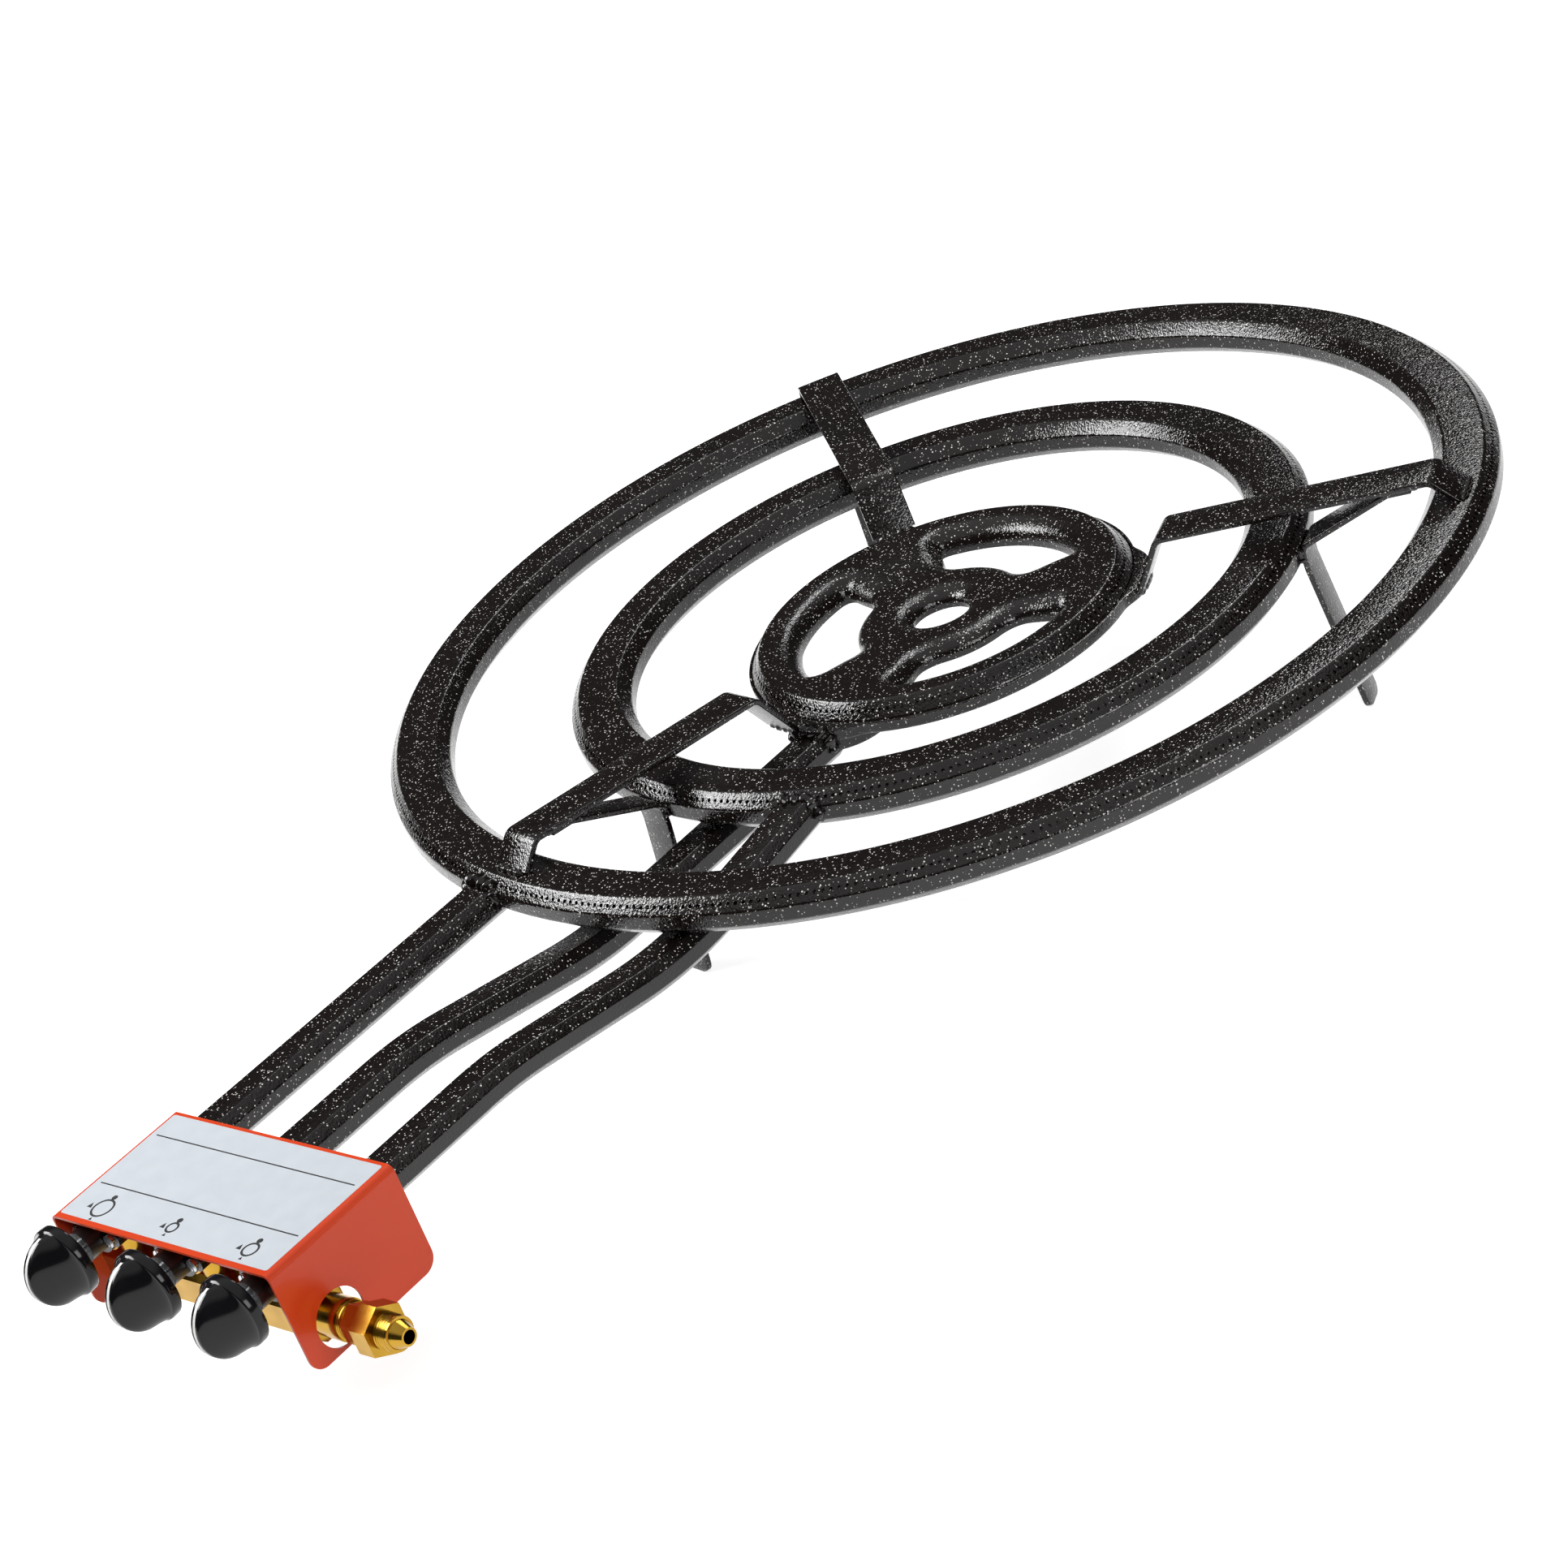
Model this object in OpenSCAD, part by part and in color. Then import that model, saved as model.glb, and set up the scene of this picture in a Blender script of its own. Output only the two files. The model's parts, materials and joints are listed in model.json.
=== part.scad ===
// Three-ring gas burner for a wide pan, with its own valves, control panel, pan supports and legs.
// The origin is on the floor under the middle of the overall box.
// +Y runs from the knobs towards the rings, +X is the gas inlet side, +Z is up.

/* [Burner rings] */
// Outside diameter of the outer ring
outer_d = 600; // [540:5:680]
// Outside diameter of the middle ring
middle_d = 402; // [380:2:430]
// Outside diameter of the pressed inner burner
inner_d = 212; // [196:2:228]
// Width of the folded ring section
ring_w = 34; // [28:1:40]
// Height of the folded ring section
ring_h = 19.5; // [17:0.5:23]
// Upper chamfer of the ring section, which carries the flame ports
ring_chamfer = 6.5; // [5:0.5:8]
// Lower chamfer of the ring section
ring_foot_chamfer = 5.5; // [4:0.5:7]
// Sheet thickness of the rings and the inner burner
ring_wall = 1.5; // [1:0.1:2]
// Height of the outer ring's middle above the floor
outer_z = 100; // [90:1:130]
// Drop from the outer ring to the middle ring
middle_drop = 7.5; // [5:0.5:9]
// Drop from the outer ring to the inner burner's seam
inner_drop = 18.5; // [17:0.5:20]
// Height of the inner burner's pressed upper half
inner_half_h = 11; // [10:0.5:12]
// Depth of the inner burner's pressed lower half
base_depth = 4; // [3.5:0.5:6]
// Radius of the hole in the inner burner's hub
hub_hole_r = 13.5; // [11:0.5:16]
// Radius along the middle of the three curved openings
opening_r = 62.5; // [60:0.5:65]
// Half width of each curved opening
opening_half = 12.5; // [10:0.5:14]
// Half sweep of each curved opening, up to the centres of its round ends
opening_sweep = 25; // [20:1:28]

/* [Feed tubes] */
// Distance from the panel's side to the nearest feed tube's middle
feed_side_room = 17.5; // [16:0.5:20]
// Width of the feed tube section
feed_w = 24; // [20:1:27]
// Height of the feed tube section
feed_h = 16; // [14:0.5:17]
// Chamfer of the feed tube section
feed_chamfer = 4.5; // [3:0.5:5.5]
// Wall of the feed tubes
feed_wall = 1.5; // [1:0.1:2]
// Drop from the outer ring's middle to the feed tubes and valves
feed_drop = 3; // [2:0.5:5]

/* [Pan supports and legs] */
// Angle of the first support from +X
support_angle = 21.3; // [15:0.1:26]
// Width of the support bars
bar_w = 25; // [20:1:30]
// Thickness of the support bars
bar_t = 3; // [2.5:0.5:4]
// Height of the pan rest above the outer ring's middle
bar_rise = 23.5; // [21:0.5:30]
// Fall of each bar from its outer bend to its inner bend
bar_fall = 9; // [6:0.5:10]
// Bend radius of the bars and legs, on the centre line
strip_bend_r = 6; // [4:0.5:8]
// Width of the legs
leg_w = 20; // [16:1:24]
// Thickness of the legs
leg_t = 3; // [2.5:0.5:4]
// Outward lean of each leg from the middle ring to the floor
leg_lean = 10; // [4:1:20]

/* [Control panel] */
// Width of the panel
panel_w = 155; // [150:1:165]
// Length of the panel
panel_l = 78; // [74:1:90]
// Height of the side flanges
panel_h = 55; // [52:1:60]
// Sheet thickness of the panel
panel_t = 1.2; // [1:0.1:1.6]
// Distance from the ring axis to the panel's rear edge
panel_reach = 488; // [460:2:540]
// Height of the panel's top above the outer ring's middle
panel_rise = 10; // [9:0.5:12]

/* [Valves and knobs] */
// Distance from the panel's front edge back to the valve inlets
valve_setback = 23; // [22:0.5:25]
// Diameter of the valve body
body_d = 22; // [20:0.5:22.5]
// Diameter of the turning plug
plug_d = 14; // [12:0.5:15]
// Diameter of the spindle
spindle_d = 8; // [6:0.5:8]
// Running clearance of the plug and the spindle, on the radius
run_gap = 0.05; // [0.02:0.01:0.08]
// Push of the knob
knob_push = 3; // [2:0.5:3.5]
// Diameter of the knob's rim
knob_d = 36; // [32:1:40]
// Diameter of the knob's dome
dome_d = 35; // [31:1:38]
// Gap from the panel's front edge to the front of the knob's rim
knob_gap = 14.5; // [14:0.5:18]
// Thickness of the knob's rim
knob_rim = 5.5; // [4:0.5:6]
// Width of the grip fin at its nose
fin_w = 4.4; // [3:0.2:6]
// Radius of the hollow on each side of the grip fin
fin_hollow_r = 22; // [19:0.5:26]

/* [Gas inlet] */
// Width of the square manifold bar
manifold_w = 20; // [18:0.5:22]
// Drop from the valve axis to the manifold axis
manifold_drop = 27.5; // [26:0.5:30]
// Diameter of the manifold's round end
manifold_end_d = 19.5; // [17:0.5:20]
// Hole in the panel's flange around the manifold's round end
flange_hole_d = 27; // [24:0.5:30]
// Width across the flats of the nipple
nipple_flats = 17; // [15:0.5:19]
// Width across the flats of the adaptor
adaptor_flats = 22; // [20:0.5:24]
// Diameter of the hose thread
thread_d = 15.8; // [14:0.1:17]
// Bore of the inlet
inlet_bore_d = 6.4; // [5:0.2:7]

/* [Hidden] */
$fn = 96;
fit_gap = 0.3;
weld_gap = 0.2;
over = 1;
bend_steps = 8;
knee_part = 0.36;
knee_step = 0.1;

// Rings
outer_r = outer_d / 2;
middle_r = middle_d / 2;
inner_r = inner_d / 2;
middle_z = outer_z - middle_drop;
seam_z = outer_z - inner_drop;
ring_top_z = outer_z + ring_h / 2;
cap_r = inner_r - ring_wall - fit_gap;
cap_side = inner_half_h * 0.25;
cap_chamfer = 6.5;
lug_r = 38;
lug_reach = 8;
boss_depth = inner_half_h;
boss_r = 26;
boss_centre = inner_r + lug_reach - boss_r - 0.5;
lug_centre = inner_r + lug_reach - lug_r;
spoke_angles = [30, 150, 270];
support_angles = [support_angle, support_angle + 120, support_angle + 240];

// Panel, valves and knobs, measured from the ring axis
panel_front = panel_reach + panel_l;
valve_reach = panel_front - valve_setback;
rim_front = knob_gap + valve_setback;
dome_lift = 1.7;
nose_front = rim_front + dome_lift + dome_d / 2;
ring_y = (valve_reach + nose_front - outer_r) / 2;
feed_pitch = panel_w / 2 - feed_side_room;
feed_z = outer_z - feed_drop;
panel_top_z = outer_z + panel_rise;
panel_under_z = panel_top_z - panel_t;
manifold_z = feed_z - manifold_drop;
body_r = body_d / 2;
plug_r = plug_d / 2;
spindle_r = spindle_d / 2;
body_rear = -12;
body_front = 13;
plug_rear = -7.5;
plug_front = 11;
plug_port_r = 2.2;
low_port_r = 0.8;
slot_floor = 4;
tang_t = 2.4;
tang_tip = slot_floor + knob_push + 0.2;
plate_t = 3;
nose_r = 7.8;
nose_end = 25.5;
cavity_r = 6.2;
cavity_end = 23;
collar_r = 5.6;
collar_t = 1.5;
screw_pitch = 11.7;
ear_r = 4.7;
screw_r = 1.6;
spindle_end = rim_front + 8;
flat_depth = 1.2;
jet_end = 38;
jet_seat = 16;

// Feed tubes end under the panel, in front of the jets
feed_start = valve_reach - jet_end + 7;
feed_level_end = panel_reach - 83;
bracket_l = 18;
bracket_y = panel_reach + 2;

// Supports and legs, as radius and height
bar_outer_inset = 25;
bar_foot_inset = 14;
bar_inner_gap = 25;
tip_lift = 1.4;
bar_outer_r = outer_r - bar_outer_inset;
bar_foot_r = outer_r - bar_foot_inset;
bar_inner_r = inner_r + bar_inner_gap;
bar_tip_r = inner_r + lug_reach + 0.5;
bar_outer_z = outer_z + bar_rise - bar_t / 2;
bar_inner_z = bar_outer_z - bar_fall;
bar_tip_z = seam_z + cap_side + tip_lift;
bar_slope = bar_fall / (bar_outer_r - bar_inner_r);
leg_knee_r = middle_r + weld_gap + leg_t / 2;
brace_reach = 51;
brace_flat = 12;
brace_r = middle_r + brace_reach;
foot_round = 5;

// Inlet, measured from the middle of the manifold
panel_half = panel_w / 2;
manifold_left = panel_half - panel_t;
manifold_square = panel_half - 7;
manifold_end = panel_half + 6.5;
manifold_bore_r = 5;
nipple_shank_r = 6;
nipple_shank = 10;
nipple_collar = 4;
nipple_hex = 9;
washer_t = 0.8;
adaptor_hex = 10;
thread_l = 8.5;
cone_l = 6;
cone_r = 4.2;
bolt_r = 3;
bolt_head_r = 5.5;
bolt_head_t = 4;
bolt_depth = 12;

function octagon(w, h, upper, lower) = [[-w / 2 + lower, -h / 2], [w / 2 - lower, -h / 2],
    [w / 2, -h / 2 + lower], [w / 2, h / 2 - upper], [w / 2 - upper, h / 2],
    [-w / 2 + upper, h / 2], [-w / 2, h / 2 - upper], [-w / 2, -h / 2 + lower]];
function heading(p, i) = atan2(p[i + 1][1] - p[i][1], p[i + 1][0] - p[i][0]);
function wrapped(a) = a - 360 * floor((a + 180) / 360);
function turn(p, i) = wrapped(heading(p, i) - heading(p, i - 1));
function trimmed(p, i, r) = (i == 0 || i == len(p) - 1) ? 0 : r * tan(abs(turn(p, i)) / 2);
function feed_x(i) = (i - 2) * feed_pitch;
function bar_z(r) = bar_outer_z - bar_slope * (bar_outer_r - r);
function around(r, a) = [r * cos(a), r * sin(a)];

function along(a) = [cos(a), sin(a)];
function across(a) = [-sin(a), cos(a)];
function bend_centre(p, i, r) = p[i] - trimmed(p, i, r) * along(heading(p, i - 1))
    + sign(turn(p, i)) * r * across(heading(p, i - 1));
function bend_point(p, i, r, off, part) = bend_centre(p, i, r)
    - (sign(turn(p, i)) * r - off) * across(heading(p, i - 1) + turn(p, i) * part);

// One face of a strip that follows a path at a given offset
function strip_face(p, r, off) = concat([p[0] + off * across(heading(p, 0))],
    [for (i = [1 : 1 : len(p) - 2]) for (k = [0 : bend_steps]) bend_point(p, i, r, off, k / bend_steps)],
    [p[len(p) - 1] + off * across(heading(p, len(p) - 2))]);
function backwards(v) = [for (i = [len(v) - 1 : -1 : 0]) v[i]];

// Flat strip bent along a path, as a profile
module strip_profile(p, t, r) {
    polygon(concat(strip_face(p, r, t / 2), backwards(strip_face(p, r, -t / 2))));
}

// Feed tube path, as distance from the ring axis along +Y and height
function feed_path(i) =
    i == 1 ? [[-feed_start, feed_z], [-outer_r + ring_w * 0.6, feed_z]] :
    i == 2 ? [[-feed_start, feed_z], [-feed_level_end, feed_z],
        [-outer_r + 12, seam_z - boss_depth + 3], [-inner_r + 6, seam_z - boss_depth + 3]] :
    [[-feed_start, feed_z], [-feed_level_end, feed_z],
        [-outer_r + 10, feed_z - 19.5], [-middle_r + ring_w * 0.6, middle_z - 0.5]];

// Tube along a path: y and z of the object from the path's plane; runs meet in mitred knees
module feed_form(i, w, h, c) {
    p = feed_path(i);
    translate([feed_x(i), 0, 0])
        rotate([90, 0, 90])
            for (k = [0 : len(p) - 2])
                translate(p[k])
                    rotate(heading(p, k))
                        translate([-trimmed(p, k, h * knee_part), 0, 0])
                            rotate([0, 90, 0])
                                linear_extrude(norm(p[k + 1] - p[k]) + trimmed(p, k, h * knee_part)
                                    + trimmed(p, k + 1, h * knee_part))
                                    polygon(octagon(w - k * knee_step, h, c, c));
}

// Gas way through the wall that a feed tube is welded to
module feed_port(i) {
    p = feed_path(i);
    last = len(p) - 2;
    translate([feed_x(i), p[last + 1][0], p[last + 1][1]])
        rotate([heading(p, last), 0, 0])
            translate([0, over, 0])
                rotate([90, 0, 0])
                    linear_extrude(ring_w + over)
                        polygon(octagon(feed_w - 2 * feed_wall, feed_h - 2 * feed_wall,
                            feed_chamfer - 0.6 * feed_wall, feed_chamfer - 0.6 * feed_wall));
}

module feed_tube(i) {
    difference() {
        feed_form(i, feed_w, feed_h, feed_chamfer);
        feed_form(i, feed_w - 2 * feed_wall, feed_h - 2 * feed_wall, feed_chamfer - 0.6 * feed_wall);
        if (i == 1)
            ring_envelope(outer_r, outer_z);
        if (i == 2)
            rotate(spoke_angles[2])
                translate([lug_centre, 0, seam_z])
                    rotate(130)
                        cylinder(r = lug_r, h = 6 * inner_half_h, center = true);
        if (i == 3)
            ring_envelope(middle_r, middle_z);
    }
}

// Everything inside a ring's outer surface
module ring_envelope(r, z) {
    translate([0, 0, z]) {
        rotate_extrude()
            translate([r - ring_w / 2, 0])
                polygon(octagon(ring_w, ring_h, ring_chamfer, ring_foot_chamfer));
        cylinder(r = r - ring_chamfer, h = 4 * ring_h, center = true);
    }
}

module ring_tube(r, z) {
    translate([0, 0, z])
        rotate_extrude()
            translate([r - ring_w / 2, 0])
                difference() {
                    polygon(octagon(ring_w, ring_h, ring_chamfer, ring_foot_chamfer));
                    polygon(octagon(ring_w - 2 * ring_wall, ring_h - 2 * ring_wall,
                        ring_chamfer - 0.6 * ring_wall, ring_foot_chamfer - 0.6 * ring_wall));
                }
}

// Space of one opening, flared so that the sheet rolls down to the seam
module opening_flare(inset) {
    round_r = inner_half_h - inset;
    reach = opening_half + inner_half_h;
    rotate(-opening_sweep)
        rotate_extrude(angle = 2 * opening_sweep)
            difference() {
                translate([opening_r - reach, -over])
                    square([2 * reach, inner_half_h + 2 * over]);
                translate([opening_r - reach, 0])
                    circle(round_r);
                translate([opening_r + reach, 0])
                    circle(round_r);
            }
    for (a = [-opening_sweep, opening_sweep])
        translate(around(opening_r, a))
            round_flare(reach, round_r);
}

module round_flare(reach, round_r) {
    rotate_extrude()
        difference() {
            translate([0, -over])
                square([reach, inner_half_h + 2 * over]);
            translate([reach, 0])
                circle(round_r);
        }
}

module flared_openings(inset) {
    for (a = spoke_angles)
        rotate(a + 60)
            opening_flare(inset);
    round_flare(hub_hole_r + inner_half_h, inner_half_h - inset);
}

// Space of the same openings in the lower half, with upright walls
module upright_openings(inset) {
    half = opening_half + inset;
    tall = 3 * inner_half_h;
    for (a = spoke_angles)
        rotate(a + 60) {
            rotate(-opening_sweep)
                rotate_extrude(angle = 2 * opening_sweep)
                    translate([opening_r - half, -tall / 2])
                        square([2 * half, tall]);
            for (end = [-opening_sweep, opening_sweep])
                translate(around(opening_r, end))
                    cylinder(r = half, h = tall, center = true);
        }
    cylinder(r = hub_hole_r + inset, h = tall, center = true);
}

// Upper pressed half, with the sheet's inner surface at a given inset
module cap_form(inset) {
    r = cap_r - inset;
    h = inner_half_h - inset;
    low = inset > 0 ? -over : 0;
    difference() {
        rotate_extrude()
            polygon([[0, low], [r, low], [r, cap_side - 0.3 * inset], [r - cap_chamfer + 0.46 * inset, h], [0, h]]);
        flared_openings(inset);
    }
}

// Lower pressed half, turned over, with a lip around the upper half, three lugs and a deeper gas boss
module base_form(inset) {
    difference() {
        base_outline(inset);
        upright_openings(inset);
    }
}

module base_outline(inset) {
    low = -cap_side + inset;
    translate([0, 0, low])
        cylinder(r = inner_r - inset, h = base_depth - inset - low);
    for (a = spoke_angles)
        rotate(a)
            translate([lug_centre, 0, low])
                cylinder(r = lug_r - inset, h = base_depth - inset - low);
    rotate(spoke_angles[2])
        translate([boss_centre, 0, low])
            cylinder(r = boss_r - inset, h = boss_depth - inset - low);
}

module outer_ring() {
    color("#1c1614")
        difference() {
            ring_tube(outer_r, outer_z);
            feed_port(1);
        }
}

module middle_ring() {
    color("#1c1614")
        difference() {
            ring_tube(middle_r, middle_z);
            feed_port(3);
        }
}

module inner_burner_top() {
    color("#1c1614")
        translate([0, 0, seam_z])
            difference() {
                cap_form(0);
                cap_form(ring_wall);
            }
}

module inner_burner_base() {
    color("#1c1614")
        difference() {
            translate([0, 0, seam_z])
                mirror([0, 0, 1])
                    difference() {
                        base_form(0);
                        base_form(ring_wall);
                        translate([0, 0, -cap_side - over])
                            cylinder(r = inner_r - ring_wall, h = cap_side + over);
                    }
            feed_port(2);
        }
}

module pan_support(i) {
    p = [[bar_foot_r + 2, ring_top_z - 2.5], [bar_outer_r, bar_outer_z],
        [bar_inner_r, bar_inner_z], [bar_tip_r, bar_tip_z]];
    color("#1c1614")
        rotate(support_angles[i - 1])
            difference() {
                rotate([90, 0, 0])
                    linear_extrude(bar_w, center = true)
                        strip_profile(p, bar_t, strip_bend_r);
                translate([bar_outer_r, -bar_w, ring_top_z - ring_h])
                    cube([2 * ring_w, 2 * bar_w, ring_h]);
            }
}

module leg(i) {
    under = (bar_t + leg_t) / 2;
    p = [[leg_knee_r + leg_lean, -4], [leg_knee_r, middle_z - 8.5], [leg_knee_r, middle_z + 3.5],
        [brace_r, bar_z(brace_r) - under], [brace_r + brace_flat, bar_z(brace_r + brace_flat) - under]];
    color("#1c1614")
        rotate(support_angles[i - 1])
            intersection() {
                rotate([90, 0, 0])
                    linear_extrude(leg_w, center = true)
                        strip_profile(p, leg_t, strip_bend_r);
                rotate([90, 0, 90])
                    linear_extrude(outer_r)
                        foot_profile();
            }
}

// Outline of a leg seen along its radius, with rounded foot corners
module foot_profile() {
    translate([-leg_w / 2, foot_round])
        square([leg_w, outer_z + bar_rise]);
    translate([-leg_w / 2 + foot_round, 0])
        square([leg_w - 2 * foot_round, outer_z]);
    for (side = [-1, 1])
        translate([side * (leg_w / 2 - foot_round), foot_round])
            circle(foot_round);
}

module control_panel() {
    x = panel_half - panel_t / 2;
    low = panel_top_z - panel_h;
    p = [[-x, low], [-x, panel_top_z - panel_t / 2], [x, panel_top_z - panel_t / 2], [x, low]];
    color("#c8412c")
        difference() {
            intersection() {
                translate([0, -panel_reach, 0])
                    rotate([90, 0, 0])
                        linear_extrude(panel_l)
                            strip_profile(p, panel_t, 3);
                rotate([90, 0, 90])
                    linear_extrude(2 * panel_w, center = true)
                        flange_profile(low);
            }
            translate([0, -valve_reach, manifold_z])
                rotate([0, 90, 0])
                    cylinder(d = flange_hole_d, h = panel_w);
            translate([0, -valve_reach, manifold_z])
                rotate([0, -90, 0])
                    cylinder(r = bolt_r + fit_gap, h = panel_w);
        }
}

// Outline of the panel seen along X, with rounded lower corners
module flange_profile(low) {
    corner = 8;
    translate([-panel_front, low + corner])
        square([panel_l, panel_h]);
    translate([-panel_front + corner, low])
        square([panel_l - 2 * corner, panel_h]);
    for (y = [-panel_front + corner, -panel_reach - corner])
        translate([y, low + corner])
            circle(corner);
}

module panel_bracket() {
    half = feed_pitch + feed_w / 2;
    color("#1c1614")
        translate([-half, -bracket_y - bracket_l, feed_z + feed_h / 2])
            cube([2 * half, bracket_l, panel_under_z - feed_z - feed_h / 2]);
}

// Local frame of a valve: +Z towards the knob, +Y up, origin over the manifold
module at_valve(i) {
    translate([feed_x(i), -valve_reach, feed_z])
        rotate([90, 0, 0])
            children();
}

module gas_manifold() {
    edge = 3;
    color("#c9a24a")
        translate([0, -valve_reach, manifold_z])
            rotate([0, 90, 0])
                difference() {
                    union() {
                        translate([0, 0, -manifold_left])
                            linear_extrude(manifold_left + manifold_square)
                                polygon(octagon(manifold_w, manifold_w, edge, edge));
                        translate([0, 0, manifold_square])
                            cylinder(d = manifold_end_d, h = manifold_end - manifold_square);
                    }
                    translate([0, 0, -feed_pitch])
                        cylinder(r = manifold_bore_r, h = feed_pitch + manifold_end + over);
                    translate([0, 0, manifold_end - nipple_shank - over])
                        cylinder(r = nipple_shank_r + weld_gap, h = nipple_shank + 2 * over);
                    translate([0, 0, -manifold_left - over])
                        cylinder(r = bolt_r + weld_gap, h = bolt_depth + 2 * over);
                    for (i = [1 : 3])
                        translate([0, 0, feed_x(i)])
                            rotate([0, -90, 0])
                                cylinder(r = plug_port_r, h = manifold_w);
                }
}

module manifold_bolt() {
    color("#b9bcc0")
        translate([-panel_half, -valve_reach, manifold_z])
            rotate([0, -90, 0]) {
                cylinder(r = bolt_head_r, h = bolt_head_t, $fn = 6);
                translate([0, 0, -bolt_depth])
                    cylinder(r = bolt_r, h = bolt_depth + over);
            }
}

module valve_body(i) {
    color("#c9a24a")
        at_valve(i)
            difference() {
                union() {
                    translate([0, 0, body_rear])
                        cylinder(r = body_r, h = body_front - body_rear);
                    translate([0, 0, -jet_seat])
                        cylinder(r = 8, h = jet_seat);
                    rotate([90, 0, 0])
                        cylinder(r = 7.5, h = manifold_drop - manifold_w / 2);
                    for (side = [-1, 1])
                        translate([side * screw_pitch, 0, 4])
                            cylinder(r = ear_r, h = body_front - 4);
                }
                translate([0, 0, -8])
                    cylinder(r = plug_r + run_gap, h = body_front + 8 + over);
                translate([0, 0, -jet_seat - over])
                    cylinder(r = plug_port_r, h = jet_seat);
                rotate([90, 0, 0])
                    cylinder(r = plug_port_r, h = manifold_drop);
                for (side = [-1, 1])
                    translate([side * screw_pitch, 0, 6])
                        cylinder(r = screw_r + 0.1, h = body_front);
            }
}

module valve_plug(i) {
    color("#b08d3f")
        at_valve(i)
            difference() {
                translate([0, 0, plug_rear])
                    cylinder(r = plug_r, h = plug_front - plug_rear);
                translate([0, 0, plug_rear - over])
                    cylinder(r = plug_port_r, h = over - plug_rear);
                rotate([0, -90, 0])
                    cylinder(r = plug_port_r, h = plug_d);
                rotate([-90, 0, 0])
                    cylinder(r = low_port_r, h = plug_d);
                translate([-tang_t / 2 - 0.1, -plug_d, slot_floor])
                    cube([tang_t + 0.2, 2 * plug_d, plug_front]);
            }
}

module valve_bonnet(i) {
    color("#2b2a28")
        at_valve(i)
            difference() {
                union() {
                    translate([0, 0, body_front])
                        linear_extrude(plate_t) {
                            circle(r = 10);
                            square([2 * screw_pitch, 2 * ear_r], center = true);
                            for (side = [-1, 1])
                                translate([side * screw_pitch, 0])
                                    circle(r = ear_r);
                        }
                    translate([0, 0, body_front])
                        cylinder(r = nose_r, h = nose_end - body_front);
                }
                translate([0, 0, body_front - over])
                    cylinder(r = cavity_r, h = cavity_end - body_front + over);
                cylinder(r = spindle_r + run_gap, h = nose_end + over);
                for (side = [-1, 1])
                    translate([side * screw_pitch, 0, 0])
                        cylinder(r = screw_r + 0.1, h = nose_end);
            }
}

module bonnet_screws() {
    color("#c9ccd0")
        for (i = [1 : 3])
            at_valve(i)
                for (side = [-1, 1])
                    translate([side * screw_pitch, 0, body_front + plate_t])
                        difference() {
                            union() {
                                cylinder(r = 3.2, h = 2.2);
                                translate([0, 0, -8])
                                    cylinder(r = screw_r, h = 8 + over);
                            }
                            translate([-0.5, -4, 1.3])
                                cube([1, 8, over]);
                        }
}

module spindle(i) {
    color("#b9bcc0")
        at_valve(i) {
            difference() {
                translate([0, 0, plug_front + knob_push + 0.5])
                    cylinder(r = spindle_r, h = spindle_end - plug_front - knob_push - 0.5);
                translate([spindle_r - flat_depth, -spindle_d, rim_front - knob_rim])
                    cube([spindle_d, 2 * spindle_d, spindle_d * 3]);
            }
            translate([0, 0, cavity_end - 0.1 - collar_t])
                cylinder(r = collar_r, h = collar_t);
            intersection() {
                translate([-tang_t / 2, -spindle_d, tang_tip])
                    cube([tang_t, 2 * spindle_d, plug_front + knob_push + over - tang_tip]);
                cylinder(r = spindle_r, h = nose_end);
            }
        }
}

module knob(i) {
    bevel = 1.2;
    rear = rim_front - knob_rim;
    hollow_x = fin_w / 2 + fin_hollow_r;
    color("#17171a")
        at_valve(i)
            difference() {
                union() {
                    translate([0, 0, rear])
                        cylinder(d = knob_d, h = knob_rim - bevel);
                    translate([0, 0, rim_front - bevel])
                        cylinder(r1 = knob_d / 2, r2 = knob_d / 2 - bevel, h = bevel);
                    difference() {
                        translate([0, 0, rim_front + dome_lift])
                            sphere(d = dome_d);
                        translate([0, 0, rim_front - dome_d])
                            cylinder(d = 2 * knob_d, h = dome_d - bevel / 2);
                        for (side = [-1, 1])
                            translate([side * hollow_x, 0, nose_front])
                                rotate([90, 0, 0])
                                    cylinder(r = fin_hollow_r, h = 2 * knob_d, center = true);
                    }
                }
                difference() {
                    translate([0, 0, rear - over])
                        cylinder(r = spindle_r + run_gap, h = spindle_end - rear + 1.5);
                    translate([spindle_r - flat_depth + run_gap, -spindle_d, rear])
                        cube([spindle_d, 2 * spindle_d, spindle_d * 3]);
                }
            }
}

module injector_jet(i) {
    color("#c9a24a")
        at_valve(i)
            rotate([180, 0, 0])
                difference() {
                    union() {
                        translate([0, 0, jet_seat])
                            cylinder(r = 6.5, h = 7, $fn = 6);
                        translate([0, 0, jet_seat + 7])
                            cylinder(r = 3.6, h = jet_end - jet_seat - 10);
                        translate([0, 0, jet_end - 3])
                            cylinder(r1 = 3.6, r2 = 2.2, h = 3);
                    }
                    translate([0, 0, jet_seat - over])
                        cylinder(r = 1.8, h = jet_end - jet_seat - 1);
                    cylinder(r = 0.6, h = jet_end + over);
                }
}

// Local frame of the inlet: +Z outwards along the manifold
module at_inlet() {
    translate([0, -valve_reach, manifold_z])
        rotate([0, 90, 0])
            translate([0, 0, manifold_end])
                children();
}

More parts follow.
